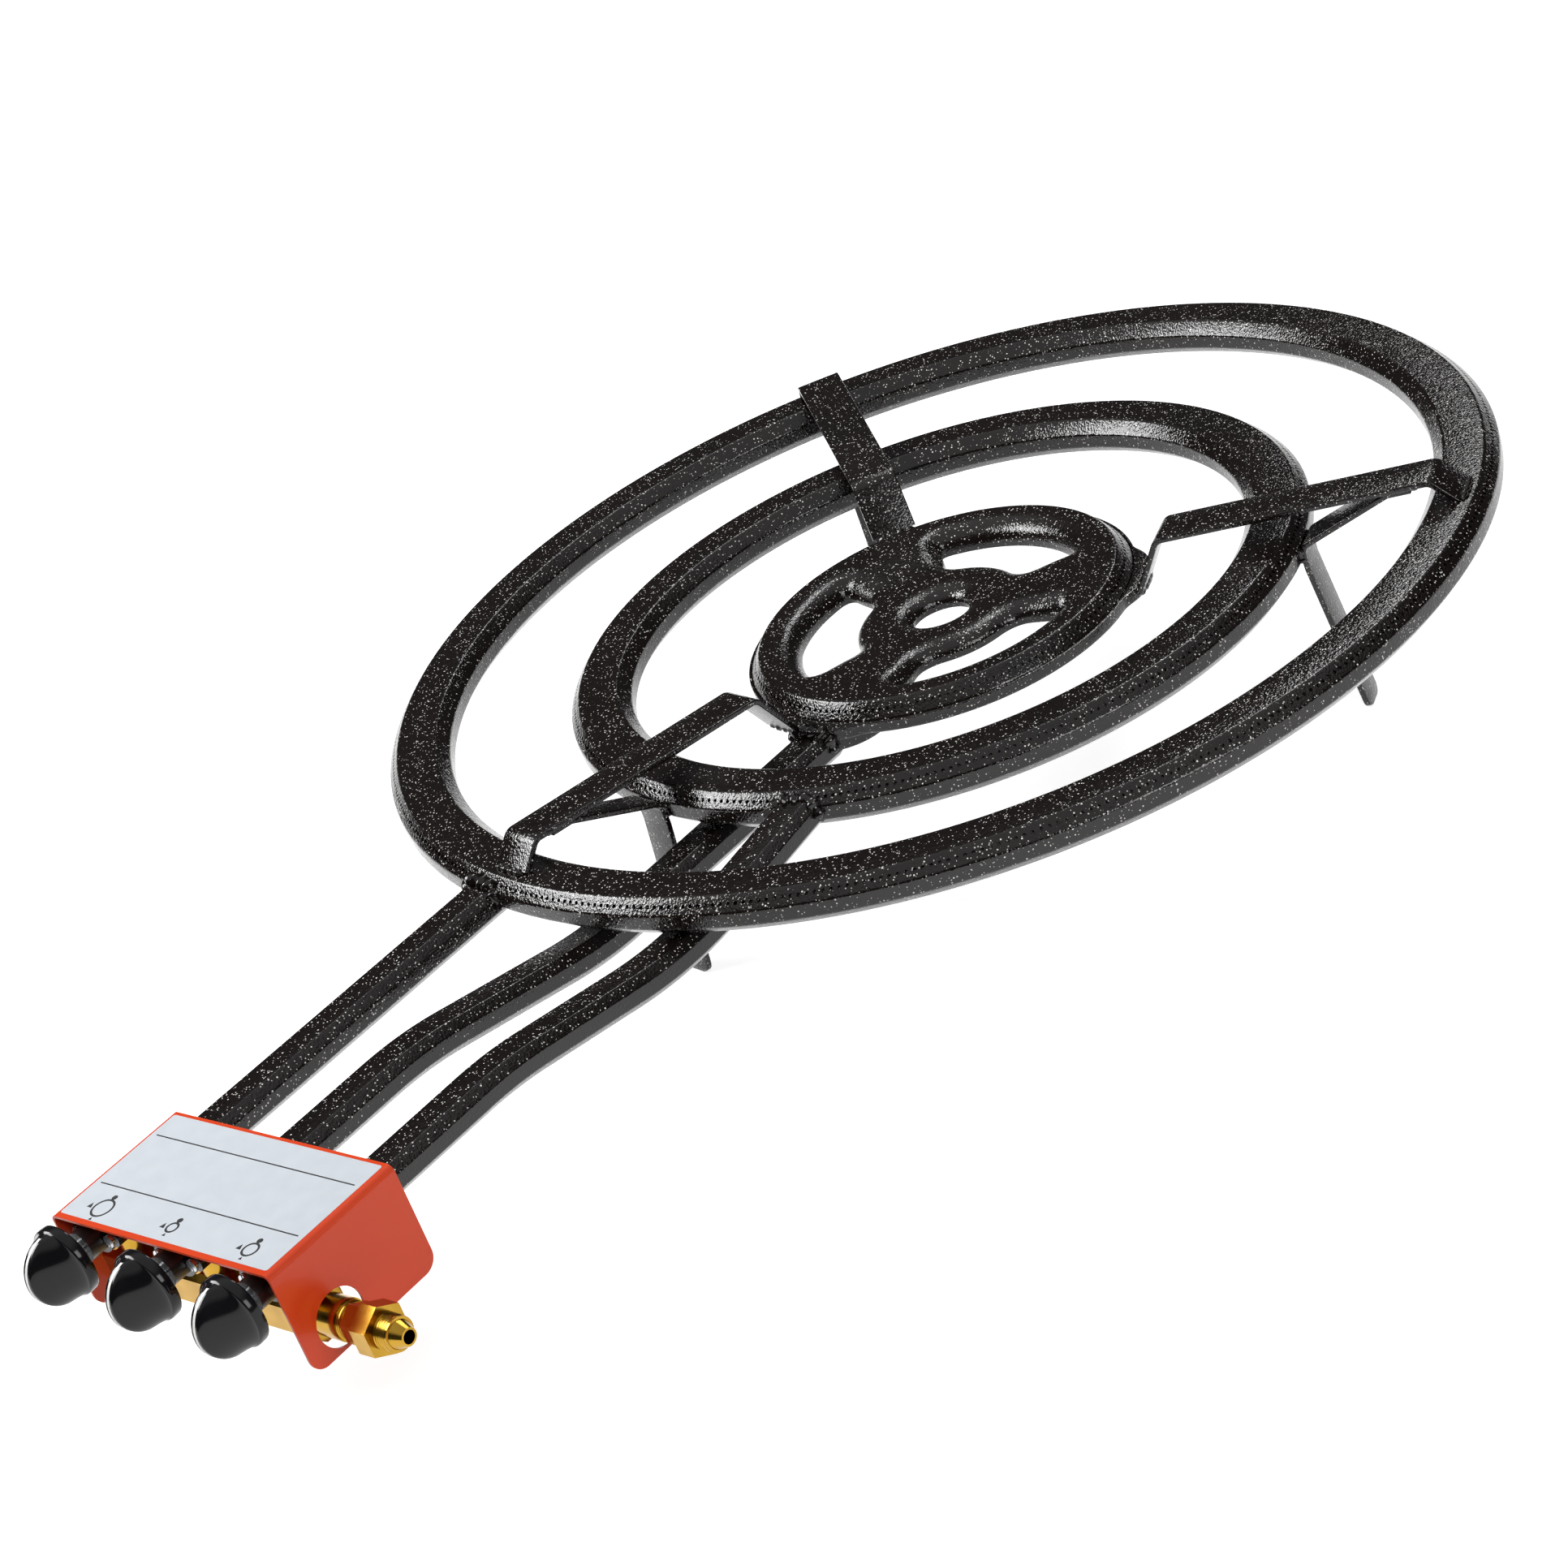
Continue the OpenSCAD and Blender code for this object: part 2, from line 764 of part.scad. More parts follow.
module inlet_nipple() {
    color("#c9a24a")
        at_inlet()
            difference() {
                union() {
                    translate([0, 0, -nipple_shank])
                        cylinder(r = nipple_shank_r, h = nipple_shank + over);
                    cylinder(d = manifold_end_d - 2, h = nipple_collar);
                    translate([0, 0, nipple_collar])
                        cylinder(d = nipple_flats / cos(30), h = nipple_hex, $fn = 6);
                }
                translate([0, 0, -nipple_shank - over])
                    cylinder(d = inlet_bore_d, h = manifold_w * 2);
            }
}

module sealing_washer() {
    color("#b56b3c")
        at_inlet()
            translate([0, 0, nipple_collar + nipple_hex])
                difference() {
                    cylinder(d = adaptor_flats - 2, h = washer_t);
                    translate([0, 0, -over])
                        cylinder(d = inlet_bore_d + 1, h = washer_t + 2 * over);
                }
}

module inlet_adaptor() {
    base = nipple_collar + nipple_hex + washer_t;
    color("#c9a24a")
        at_inlet()
            translate([0, 0, base])
                difference() {
                    union() {
                        cylinder(d = adaptor_flats / cos(30), h = adaptor_hex, $fn = 6);
                        translate([0, 0, adaptor_hex])
                            cylinder(d = thread_d, h = thread_l);
                        translate([0, 0, adaptor_hex + thread_l])
                            cylinder(r1 = thread_d / 2 - 1.2, r2 = cone_r, h = cone_l);
                    }
                    translate([0, 0, -over])
                        cylinder(d = inlet_bore_d, h = adaptor_hex + thread_l + cone_l + 2 * over);
                }
}

translate([0, ring_y, 0]) {
    outer_ring();
    middle_ring();
    inner_burner_top();
    inner_burner_base();
    color("#1c1614") feed_tube(1);  // feed_tube_1
    color("#1c1614") feed_tube(2);  // feed_tube_2
    color("#1c1614") feed_tube(3);  // feed_tube_3
    pan_support(1);  // pan_support_1
    pan_support(2);  // pan_support_2
    pan_support(3);  // pan_support_3
    leg(1);  // leg_1
    leg(2);  // leg_2
    leg(3);  // leg_3
    control_panel();
    panel_bracket();
    gas_manifold();
    manifold_bolt();
    valve_body(1);  // valve_body_1
    valve_body(2);  // valve_body_2
    valve_body(3);  // valve_body_3
    valve_plug(1);  // valve_plug_1
    valve_plug(2);  // valve_plug_2
    valve_plug(3);  // valve_plug_3
    valve_bonnet(1);  // valve_bonnet_1
    valve_bonnet(2);  // valve_bonnet_2
    valve_bonnet(3);  // valve_bonnet_3
    bonnet_screws();
    spindle(1);  // spindle_1
    spindle(2);  // spindle_2
    spindle(3);  // spindle_3
    knob(1);  // knob_1
    knob(2);  // knob_2
    knob(3);  // knob_3
    injector_jet(1);  // injector_jet_1
    injector_jet(2);  // injector_jet_2
    injector_jet(3);  // injector_jet_3
    inlet_nipple();
    sealing_washer();
    inlet_adaptor();
}
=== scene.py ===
"""Looks of a three-ring gas burner: speckled black enamel rings, strip supports, red panel, brass fittings."""

import json
import math
import random

import bpy
from mathutils import Matrix, Vector
from mathutils.geometry import delaunay_2d_cdt, tessellate_polygon


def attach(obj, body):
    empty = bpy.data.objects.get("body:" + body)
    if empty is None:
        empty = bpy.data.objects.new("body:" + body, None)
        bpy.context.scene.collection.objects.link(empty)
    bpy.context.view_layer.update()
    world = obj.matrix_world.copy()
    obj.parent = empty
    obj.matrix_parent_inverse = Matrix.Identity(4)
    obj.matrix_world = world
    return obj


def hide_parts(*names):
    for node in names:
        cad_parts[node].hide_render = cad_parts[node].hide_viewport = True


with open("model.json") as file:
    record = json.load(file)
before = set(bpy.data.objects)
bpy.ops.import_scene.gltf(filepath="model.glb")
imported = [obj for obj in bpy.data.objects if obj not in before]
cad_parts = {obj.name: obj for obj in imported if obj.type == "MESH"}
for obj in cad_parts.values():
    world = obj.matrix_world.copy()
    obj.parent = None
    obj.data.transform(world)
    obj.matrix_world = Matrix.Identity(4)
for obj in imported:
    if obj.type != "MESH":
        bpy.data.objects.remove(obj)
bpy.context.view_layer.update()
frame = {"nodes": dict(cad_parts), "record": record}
MM = 0.001

# Sizes of the part, in millimetres, measured from the ring axis and the floor
RING_Y = 149.85
OUTER_R, OUTER_Z = 299.95, 100.0
MIDDLE_R, MIDDLE_Z = 201.0, 92.5
RING_W, RING_H = 34.0, 19.5
RING_CHAMFER, RING_FOOT_CHAMFER, RING_FOLD_R = 6.5, 5.5, 2.4
RING_PORT_R, CAP_PORT_R, PORT_DEPTH = 1.05, 1.0, 1.5
SEAM_Z, INNER_HALF_H = 81.5, 11.0
HUB_HOLE_R, ROLL_REACH, HUB_DIP = 15.0, 13.0, 3.5
INNER_R, CAP_TOP_R = 106.0, 96.6
OPENING_NEAR_R, OPENING_FAR_R = 46.5, 77.0
OPENING_MIDDLES = (90.0, 210.0, 330.0)
LUG_ANGLES, LUG_R, LUG_CENTRE_R = (30.0, 150.0, 270.0), 38.0, 76.0
FEED_Z, FEED_W, FEED_H, FEED_CHAMFER = 97.0, 24.0, 16.0, 4.5
FEED_START, FEED_LEVEL_END = 512.0, 405.0
FEED_FOLD_R, FEED_BEND_R = 1.4, 230
TAP_PITCH = 60.0
SUPPORT_ANGLES = (21.3, 141.3, 261.3)
BAR_W, BAR_T = 25.0, 3.0
BAR_OUT_R, BAR_OUT_Z, BAR_IN_R, BAR_IN_Z = 275.0, 122.0, 131.0, 113.0
LEG_W, LEG_T, FOOT_R = 20.0, 3.0, 5.0
STRIP_BEND_R, STRIP_BEND_STEPS = 6, 8
PANEL_FRONT, PANEL_REAR, PANEL_TOP_Z = -566.0, -488.0, 110.0
VALVE_Y, RIM_FRONT, DOME_LIFT, DOME_R = -543.0, 37.5, 1.7, 17.5
KNOB_R, KNOB_FACE_R = 18.0, 17.4
CREST_HALF_W, CREST_SOFTNESS, HOLLOW_POWER = 1.9, 1.1, 1.7
MANIFOLD_Z = 69.5


# Materials

def linear(code):
    """Linear colour of an sRGB hex value."""
    parts = [int(code[k:k + 2], 16) / 255 for k in (1, 3, 5)]
    return tuple(c / 12.92 if c <= 0.04045 else ((c + 0.055) / 1.055) ** 2.4 for c in parts) + (1.0,)


def add_node(tree, kind, settings=None, links=None):
    """Adds a node: settings are its properties or its input values, links are its input sockets."""
    node = tree.nodes.new("ShaderNode" + kind)
    for key, value in (settings or {}).items():
        if isinstance(key, str) and hasattr(node, key):
            setattr(node, key, value)
        else:
            node.inputs[key].default_value = value
    for key, socket in (links or {}).items():
        tree.links.new(socket, node.inputs[key])
    return node


def new_material(name, **sockets):
    """A named material with its principled shader's constant sockets set."""
    material = bpy.data.materials.new(name)
    material.use_nodes = True
    shader = material.node_tree.nodes["Principled BSDF"]
    for key, value in sockets.items():
        shader.inputs[key.replace("_", " ")].default_value = value
    return material, material.node_tree, shader


def vitreous_enamel():
    """Fused black enamel: a deep brown-black glass dusted with white flecks.

    Its fine orange peel breaks highlights into grains.
    """
    material, tree, shader = new_material("speckled_vitreous_enamel", IOR=1.5, Specular_IOR_Level=0.5)
    place = add_node(tree, "TexCoord")
    fleck_mm = 1.3
    flecks = add_node(tree, "TexVoronoi", {"feature": "F1", "Scale": 1000 / fleck_mm, "Randomness": 1.0},
                      {"Vector": place.outputs["Object"]})
    chance = add_node(tree, "SeparateColor", links={"Color": flecks.outputs["Color"]})
    size = add_node(tree, "MapRange", {"From Min": 0.42, "From Max": 1.0, "To Min": 0.02, "To Max": 0.36},
                    {"Value": chance.outputs["Red"]})
    inside = add_node(tree, "Math", {"operation": "LESS_THAN"},
                      {0: flecks.outputs["Distance"], 1: size.outputs["Result"]})
    bright = add_node(tree, "MapRange", {"From Min": 0.0, "From Max": 1.0, "To Min": 0.4, "To Max": 1.0},
                      {"Value": chance.outputs["Green"]})
    amount = add_node(tree, "Math", {"operation": "MULTIPLY"}, {0: inside.outputs[0], 1: bright.outputs["Result"]})
    cloud_mm = 60
    cloud = add_node(tree, "TexNoise", {"Scale": 1000 / cloud_mm, "Detail": 3.0}, {"Vector": place.outputs["Object"]})
    ground = add_node(tree, "Mix", {"data_type": "RGBA", 6: linear("#0b0807"), 7: linear("#17100e")},
                      {0: cloud.outputs["Fac"]})
    colour = add_node(tree, "Mix", {"data_type": "RGBA", 7: linear("#f2efea")},
                      {0: amount.outputs[0], 6: ground.outputs[2]})
    tree.links.new(colour.outputs[2], shader.inputs["Base Color"])
    rough = add_node(tree, "MapRange", {"To Min": 0.06, "To Max": 0.13}, {"Value": cloud.outputs["Fac"]})
    tree.links.new(rough.outputs["Result"], shader.inputs["Roughness"])
    ripple_mm, grain_mm = 9, 1.2
    ripple = add_node(tree, "TexNoise", {"Scale": 1000 / ripple_mm, "Detail": 1.0}, {"Vector": place.outputs["Object"]})
    grain = add_node(tree, "TexNoise", {"Scale": 1000 / grain_mm, "Detail": 1.0}, {"Vector": place.outputs["Object"]})
    swell = add_node(tree, "Bump", {"Strength": 0.3, "Distance": 0.0005}, {"Height": ripple.outputs["Fac"]})
    bump = add_node(tree, "Bump", {"Strength": 1.0, "Distance": 0.00025},
                    {"Height": grain.outputs["Fac"], "Normal": swell.outputs["Normal"]})
    tree.links.new(bump.outputs["Normal"], shader.inputs["Normal"])
    return material


def panel_paint():
    """Stoved gloss paint on bent sheet: a warm red that glows orange where it faces the light."""
    material, tree, shader = new_material("gloss_red_stove_paint", IOR=1.48, Specular_IOR_Level=0.35,
                                          Coat_Weight=0.15, Coat_Roughness=0.06)
    place = add_node(tree, "TexCoord")
    drift_mm, peel_mm = 90, 1.8
    drift = add_node(tree, "TexNoise", {"Scale": 1000 / drift_mm, "Detail": 2.0}, {"Vector": place.outputs["Object"]})
    colour = add_node(tree, "Mix", {"data_type": "RGBA", 6: linear("#cc3a12"), 7: linear("#da461a")},
                      {0: drift.outputs["Fac"]})
    tree.links.new(colour.outputs[2], shader.inputs["Base Color"])
    rough = add_node(tree, "MapRange", {"To Min": 0.26, "To Max": 0.36}, {"Value": drift.outputs["Fac"]})
    tree.links.new(rough.outputs["Result"], shader.inputs["Roughness"])
    peel = add_node(tree, "TexNoise", {"Scale": 1000 / peel_mm, "Detail": 1.0}, {"Vector": place.outputs["Object"]})
    bump = add_node(tree, "Bump", {"Strength": 0.05, "Distance": 0.0002}, {"Height": peel.outputs["Fac"]})
    tree.links.new(bump.outputs["Normal"], shader.inputs["Normal"])
    return material


def machined_metal(name, dark, pale, rough_low, rough_high, line_mm):
    """Turned or milled metal: a bright mirror drawn out into fine tool lines."""
    material, tree, shader = new_material(name, Metallic=1.0)
    place = add_node(tree, "TexCoord")
    # Real tool lines are finer than line_mm and wouldn't show from this far
    lines = add_node(tree, "TexNoise", {"Scale": 1000 / line_mm, "Detail": 3.0}, {"Vector": place.outputs["Object"]})
    tarnish_mm = 14
    tarnish = add_node(tree, "TexNoise", {"Scale": 1000 / tarnish_mm, "Detail": 2.0},
                       {"Vector": place.outputs["Object"]})
    colour = add_node(tree, "Mix", {"data_type": "RGBA", 6: linear(dark), 7: linear(pale)},
                      {0: tarnish.outputs["Fac"]})
    tree.links.new(colour.outputs[2], shader.inputs["Base Color"])
    rough = add_node(tree, "MapRange", {"To Min": rough_low, "To Max": rough_high}, {"Value": lines.outputs["Fac"]})
    tree.links.new(rough.outputs["Result"], shader.inputs["Roughness"])
    bump = add_node(tree, "Bump", {"Strength": 0.06, "Distance": 0.0001}, {"Height": lines.outputs["Fac"]})
    tree.links.new(bump.outputs["Normal"], shader.inputs["Normal"])
    return material


def moulded_plastic(name, dark, pale, rough_low, rough_high, shine=0.5):
    """Moulded or painted surface: an even colour under a smooth skin with a faint flow texture."""
    material, tree, shader = new_material(name, IOR=1.5, Specular_IOR_Level=shine)
    place = add_node(tree, "TexCoord")
    flow_mm = 9
    flow = add_node(tree, "TexNoise", {"Scale": 1000 / flow_mm, "Detail": 2.0}, {"Vector": place.outputs["Object"]})
    colour = add_node(tree, "Mix", {"data_type": "RGBA", 6: linear(dark), 7: linear(pale)},
                      {0: flow.outputs["Fac"]})
    tree.links.new(colour.outputs[2], shader.inputs["Base Color"])
    rough = add_node(tree, "MapRange", {"To Min": rough_low, "To Max": rough_high}, {"Value": flow.outputs["Fac"]})
    tree.links.new(rough.outputs["Result"], shader.inputs["Roughness"])
    bump = add_node(tree, "Bump", {"Strength": 0.04, "Distance": 0.0002}, {"Height": flow.outputs["Fac"]})
    tree.links.new(bump.outputs["Normal"], shader.inputs["Normal"])
    return material


ENAMEL = vitreous_enamel()
PAINT = panel_paint()
# Yellow mirror glints at the inlet and the manifold
BRASS = machined_metal("turned_brass", "#8f6a1e", "#c9a040", 0.12, 0.26, 0.5)
# Cool bright points on the screw heads and the bolt
STEEL = machined_metal("bright_zinc_steel", "#aeb1b6", "#d9dcdf", 0.16, 0.32, 0.5)
# A dull reddish line between nipple and adaptor
COPPER = machined_metal("soft_copper", "#a85a30", "#c8784a", 0.25, 0.4, 0.5)
# Deep black with sharp highlights along the skirts and ridges
KNOB = moulded_plastic("gloss_phenolic_plastic", "#0d0d0f", "#151518", 0.08, 0.16, 0.3)
# Soft black between the knobs and the panel
BONNET = moulded_plastic("satin_black_casting", "#120f0f", "#1c1818", 0.2, 0.32)
# The enamel without flecks, thick and wet-looking on the beads
WELD = moulded_plastic("enamel_pooled_on_weld", "#0b0807", "#17100e", 0.05, 0.1)
# A cool pale sheet that stands off the red paint
LABEL = moulded_plastic("pale_foil_label", "#c0c7ce", "#cbd1d7", 0.32, 0.42)
# Matt dark lines on the label
INK = moulded_plastic("dark_printing_ink", "#17181b", "#222327", 0.5, 0.6)
# One clean white stroke on each knob
POINTER = moulded_plastic("white_pointer_paint", "#e8e8e6", "#f4f4f2", 0.3, 0.4)

FINISH = {"enamel": ENAMEL, "panel_paint": PAINT, "brass": BRASS, "steel": STEEL, "copper": COPPER,
          "knob_plastic": KNOB, "bonnet_black": BONNET}


# Pieces

def part_point(x, y, z):
    """Point given from the ring axis and the floor in millimetres, in the part's frame in metres."""
    return (x * MM, (y + RING_Y) * MM, z * MM)


def add_piece(name, verts, faces, material, body="burner", crease=38, stands_for=()):
    """A mesh piece in the part's frame, shaded smooth up to a crease angle in degrees."""
    mesh = bpy.data.meshes.new(name)
    mesh.from_pydata([tuple(v) for v in verts], [], [tuple(f) for f in faces])
    mesh.validate()
    mesh.polygons.foreach_set("use_smooth", [True] * len(mesh.polygons))
    mesh.set_sharp_from_angle(angle=math.radians(crease))
    mesh.materials.append(material)
    piece = bpy.data.objects.new(name, mesh)
    bpy.context.scene.collection.objects.link(piece)
    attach(piece, body)
    if stands_for:
        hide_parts(*stands_for)
    return piece


def rounded_outline(corners, radius, steps):
    """Closed outline with each corner turned into an arc; gives the points of each arc."""
    arcs = []
    count = len(corners)
    for k in range(count):
        here = Vector(corners[k])
        back = (Vector(corners[k - 1]) - here).normalized()
        on = (Vector(corners[(k + 1) % count]) - here).normalized()
        half = back.angle(on) / 2
        reach = radius / math.tan(half)
        centre = here + (back + on).normalized() * (radius / math.sin(half))
        first = here + back * reach - centre
        last = here + on * reach - centre
        sweep = math.atan2(first.x * last.y - first.y * last.x, first.dot(last))
        start = math.atan2(first.y, first.x)
        turns = [start + sweep * s / steps for s in range(steps + 1)]
        arcs.append([centre + Vector((math.cos(a), math.sin(a))) * radius for a in turns])
    return arcs


def octagon(w, h, upper, lower):
    """Corners of a folded section of width w and height h, with its upper and lower chamfers."""
    return [(w / 2, -h / 2 + lower), (w / 2, h / 2 - upper), (w / 2 - upper, h / 2), (-w / 2 + upper, h / 2),
            (-w / 2, h / 2 - upper), (-w / 2, -h / 2 + lower), (-w / 2 + lower, -h / 2), (w / 2 - lower, -h / 2)]


def ported_band(verts, faces, low, high, count, port_r, depth):
    """Fills a cone band between two rings of 2 x count points with a row of round ports."""
    columns = 2 * count
    middle = []
    for j in range(0, columns, 2):
        middle.append(len(verts))
        verts.append((Vector(verts[low[j]]) + Vector(verts[high[j]])) / 2)
    for j in range(0, columns, 2):
        after = (j + 2) % columns
        edge = [low[j], low[j + 1], low[after], middle[(j // 2 + 1) % count],
                high[after], high[j + 1], high[j], middle[j // 2]]
        bottom, top = Vector(verts[low[j + 1]]), Vector(verts[high[j + 1]])
        centre = (bottom + top) / 2
        up = (top - bottom).normalized()
        side = (Vector(verts[low[after]]) - Vector(verts[low[j]])).normalized()
        inward = up.cross(side).normalized()
        rim = []
        for s in range(8):
            turn = math.radians(225 + 45 * s)
            spot = centre + (side * math.cos(turn) + up * math.sin(turn)) * port_r
            rim.append(len(verts))
            verts.append(spot)
            verts.append(spot + inward * depth)
        floor = [k + 1 for k in rim]
        for s in range(8):
            t = (s + 1) % 8
            faces.append((edge[s], edge[t], rim[t], rim[s]))
            faces.append((rim[s], rim[t], floor[t], floor[s]))
        faces.append(floor)


def folded_ring(name, radius, mid_z, ports, node):
    """Roll-formed ring: an octagonal section with soft folds and a row of ports on its outer upper chamfer."""
    arcs = rounded_outline(octagon(RING_W, RING_H, RING_CHAMFER, RING_FOOT_CHAMFER), RING_FOLD_R, 5)
    columns = 2 * ports
    verts, faces, rows = [], [], []
    for arc in arcs:
        for p in arc:
            row = []
            for j in range(columns):
                a = 2 * math.pi * j / columns
                r = radius - RING_W / 2 + p.x
                row.append(len(verts))
                verts.append(part_point(r * math.cos(a), r * math.sin(a), mid_z + p.y))
            rows.append(row)
    ported = 2 * len(arcs[0]) - 1
    for k in range(len(rows)):
        low, high = rows[k], rows[(k + 1) % len(rows)]
        if k == ported:
            ported_band(verts, faces, low, high, ports, RING_PORT_R * MM, PORT_DEPTH * MM)
            continue
        for j in range(columns):
            n = (j + 1) % columns
            faces.append((low[j], low[n], high[n], high[j]))
    return add_piece(name, verts, faces, ENAMEL, stands_for=(node,))


def path_points(knots, radius, steps):
    """Points and headings along a path in a plane, with its corners turned into arcs."""
    points = []
    for k, knot in enumerate(knots):
        here = Vector(knot)
        if k in (0, len(knots) - 1):
            along = Vector(knots[1]) - here if k == 0 else here - Vector(knots[-2])
            points.append((here, math.atan2(along.y, along.x)))
            continue
        before = (here - Vector(knots[k - 1])).normalized()
        after = (Vector(knots[k + 1]) - here).normalized()
        turn = math.atan2(before.x * after.y - before.y * after.x, before.dot(after))
        reach = radius * math.tan(abs(turn) / 2)
        start = math.atan2(before.y, before.x)
        side = math.copysign(1, turn)
        centre = here - before * reach + Vector((-before.y, before.x)) * radius * side
        for s in range(steps + 1):
            heading = start + turn * s / steps
            points.append((centre - Vector((-math.sin(heading), math.cos(heading))) * radius * side, heading))
    return points


def swept(stations, section, to_part, close_ends=True):
    """Sweeps a closed section of (in-plane, out-of-plane) offsets along stations in a plane."""
    verts, faces = [], []
    count = len(section)
    for place, heading in stations:
        normal = Vector((-math.sin(heading), math.cos(heading)))
        for inside, outside in section:
            spot = place + normal * inside
            verts.append(to_part(spot.x, spot.y, outside))
    for k in range(len(stations) - 1):
        for j in range(count):
            n = (j + 1) % count
            faces.append((k * count + j, (k + 1) * count + j, (k + 1) * count + n, k * count + n))
    if close_ends:
        faces.append(tuple(range(count)))
        faces.append(tuple(range(len(verts) - 1, len(verts) - count - 1, -1)))
    return verts, faces


def feed_tube(index, knots, x):
    """Folded octagonal feed tube with soft folds, swept through its bends and open towards its jet."""
    arcs = rounded_outline(octagon(FEED_W, FEED_H, FEED_CHAMFER, FEED_CHAMFER), FEED_FOLD_R, 4)
    section = [(p.y, p.x) for arc in arcs for p in arc]
    high_share, wide_share = 0.81, 0.875  # of the section, so that a wall of about 1.5 mm is left
    bore = [(high * high_share, wide * wide_share) for high, wide in section]
    stations = path_points(knots, FEED_BEND_R, 16)

    def to_part(u, v, w):
        return part_point(x + w, u, v)

    verts, faces = swept(stations, section, to_part, close_ends=False)
    inner, inner_faces = swept(stations[:2], bore, to_part, close_ends=False)
    base, count = len(verts), len(section)
    verts += inner
    faces += [tuple(base + k for k in reversed(f)) for f in inner_faces]
    for j in range(count):
        n = (j + 1) % count
        faces.append((n, j, base + j, base + n))
    faces.append(tuple(range(base - 1, base - count - 1, -1)))
    return add_piece("folded_feed_tube_%d" % index, verts, faces, ENAMEL,
                     stands_for=("feed_tube_%d" % index,))


def strip_section(width, thick):
    """Flat bar section with slightly broken edges, as (in-plane, out-of-plane) offsets."""
    corners = [(thick / 2, -width / 2), (thick / 2, width / 2), (-thick / 2, width / 2), (-thick / 2, -width / 2)]
    edge_r = 0.7
    return [(p.x, p.y) for arc in rounded_outline(corners, edge_r, 3) for p in arc]


def at_angle(angle):
    """Radius, height and sideways offset at an angle around the ring axis, in the part's frame."""
    c, s = math.cos(math.radians(angle)), math.sin(math.radians(angle))
    return lambda r, z, w: part_point(r * c - w * s, r * s + w * c, z)


def bar_height(r):
    """Height of a pan support's middle line at a radius."""
    return BAR_OUT_Z - (BAR_OUT_R - r) * (BAR_OUT_Z - BAR_IN_Z) / (BAR_OUT_R - BAR_IN_R)


def pan_support(index, angle):
    """Flat pan rest, bent down to the outer ring at one end and to the inner burner at the other."""
    trim = 0.02  # keeps the bend's top inside the part's box
    knots = [(286.4, OUTER_Z + RING_H / 2 + 0.1), (BAR_OUT_R, BAR_OUT_Z - trim), (BAR_IN_R, BAR_IN_Z), (114.6, 85.7)]
    stations = path_points(knots, STRIP_BEND_R, STRIP_BEND_STEPS)
    verts, faces = swept(stations, strip_section(BAR_W, BAR_T), at_angle(angle))
    return add_piece("bent_bar_support_%d" % index, verts, faces, ENAMEL,
                     stands_for=("pan_support_%d" % index,))


def leg(index, angle):
    """Strip leg with a rounded foot, knee at the middle ring and brace under the pan support."""
    knee = MIDDLE_R + 0.2 + LEG_T / 2
    foot_out, brace_start, brace_end = 9.6, 252.0, 264.0
    knots = [(knee + foot_out, 0.05), (knee, MIDDLE_Z - 8.5), (knee, MIDDLE_Z + 3.5),
             (brace_start, bar_height(brace_start) - BAR_T), (brace_end, bar_height(brace_end) - BAR_T)]
    stations = path_points(knots, STRIP_BEND_R, STRIP_BEND_STEPS)
    first, second = stations[0], stations[1]
    foot, foot_steps = [], 6
    for s in range(foot_steps + 1):
        drop = FOOT_R * (1 - math.cos(math.pi / 2 * s / foot_steps))
        share = drop / (second[0] - first[0]).length
        foot.append((first[0].lerp(second[0], share), first[1]))
    stations = foot + stations[1:]
    section = strip_section(LEG_W, LEG_T)
    count = len(section)
    to_part = at_angle(angle)
    verts, faces = swept(stations, section, to_part)
    for s in range(foot_steps):
        inset = FOOT_R * (1 - math.sin(math.pi / 2 * s / foot_steps))
        place, heading = stations[s]
        normal = Vector((-math.sin(heading), math.cos(heading)))
        for j, (inside, outside) in enumerate(section):
            spot = place + normal * inside
            verts[s * count + j] = to_part(spot.x, max(spot.y, 0.0), outside * (1 - 2 * inset / LEG_W))
    return add_piece("strip_leg_%d" % index, verts, faces, ENAMEL, stands_for=("leg_%d" % index,))


def weld_bead(name, points, radius, seed):
    """Hand-laid weld: overlapping frozen ripples along a joint, glazed over by the enamel."""
    dice = random.Random(seed)
    verts, faces, path = [], [], []
    around, step_mm = 10, 0.9
    ripple, uneven, rough = 0.3, 0.1, 0.07
    for k in range(len(points) - 1):
        a, b = Vector(points[k]), Vector(points[k + 1])
        parts = max(2, int((b - a).length / step_mm))
        path += [a.lerp(b, s / parts) for s in range(parts)]
    path.append(Vector(points[-1]))
    last = len(path) - 1
    for k, spot in enumerate(path):
        along = (path[min(k + 1, last)] - path[max(k - 1, 0)]).normalized()
        side = along.cross(Vector((0.13, 0.2, 1))).normalized()
        up = side.cross(along)
        taper = math.sqrt(max(0.06, 1 - (2 * k / last - 1) ** 6))
        r = radius * taper * (1 + ripple * math.sin(k * 1.1 + seed) + dice.uniform(-uneven, uneven))
        for j in range(around):
            turn = 2 * math.pi * j / around
            out = (side * math.cos(turn) + up * math.sin(turn)) * r * (1 + dice.uniform(-rough, rough))
            verts.append(part_point(*(spot + out)))
    for k in range(last):
        for j in range(around):
            n = (j + 1) % around
            faces.append((k * around + j, k * around + n, (k + 1) * around + n, (k + 1) * around + j))
    faces.append(tuple(reversed(range(around))))
    faces.append(tuple(range(last * around, last * around + around)))
    return add_piece(name, verts, faces, WELD, crease=80)


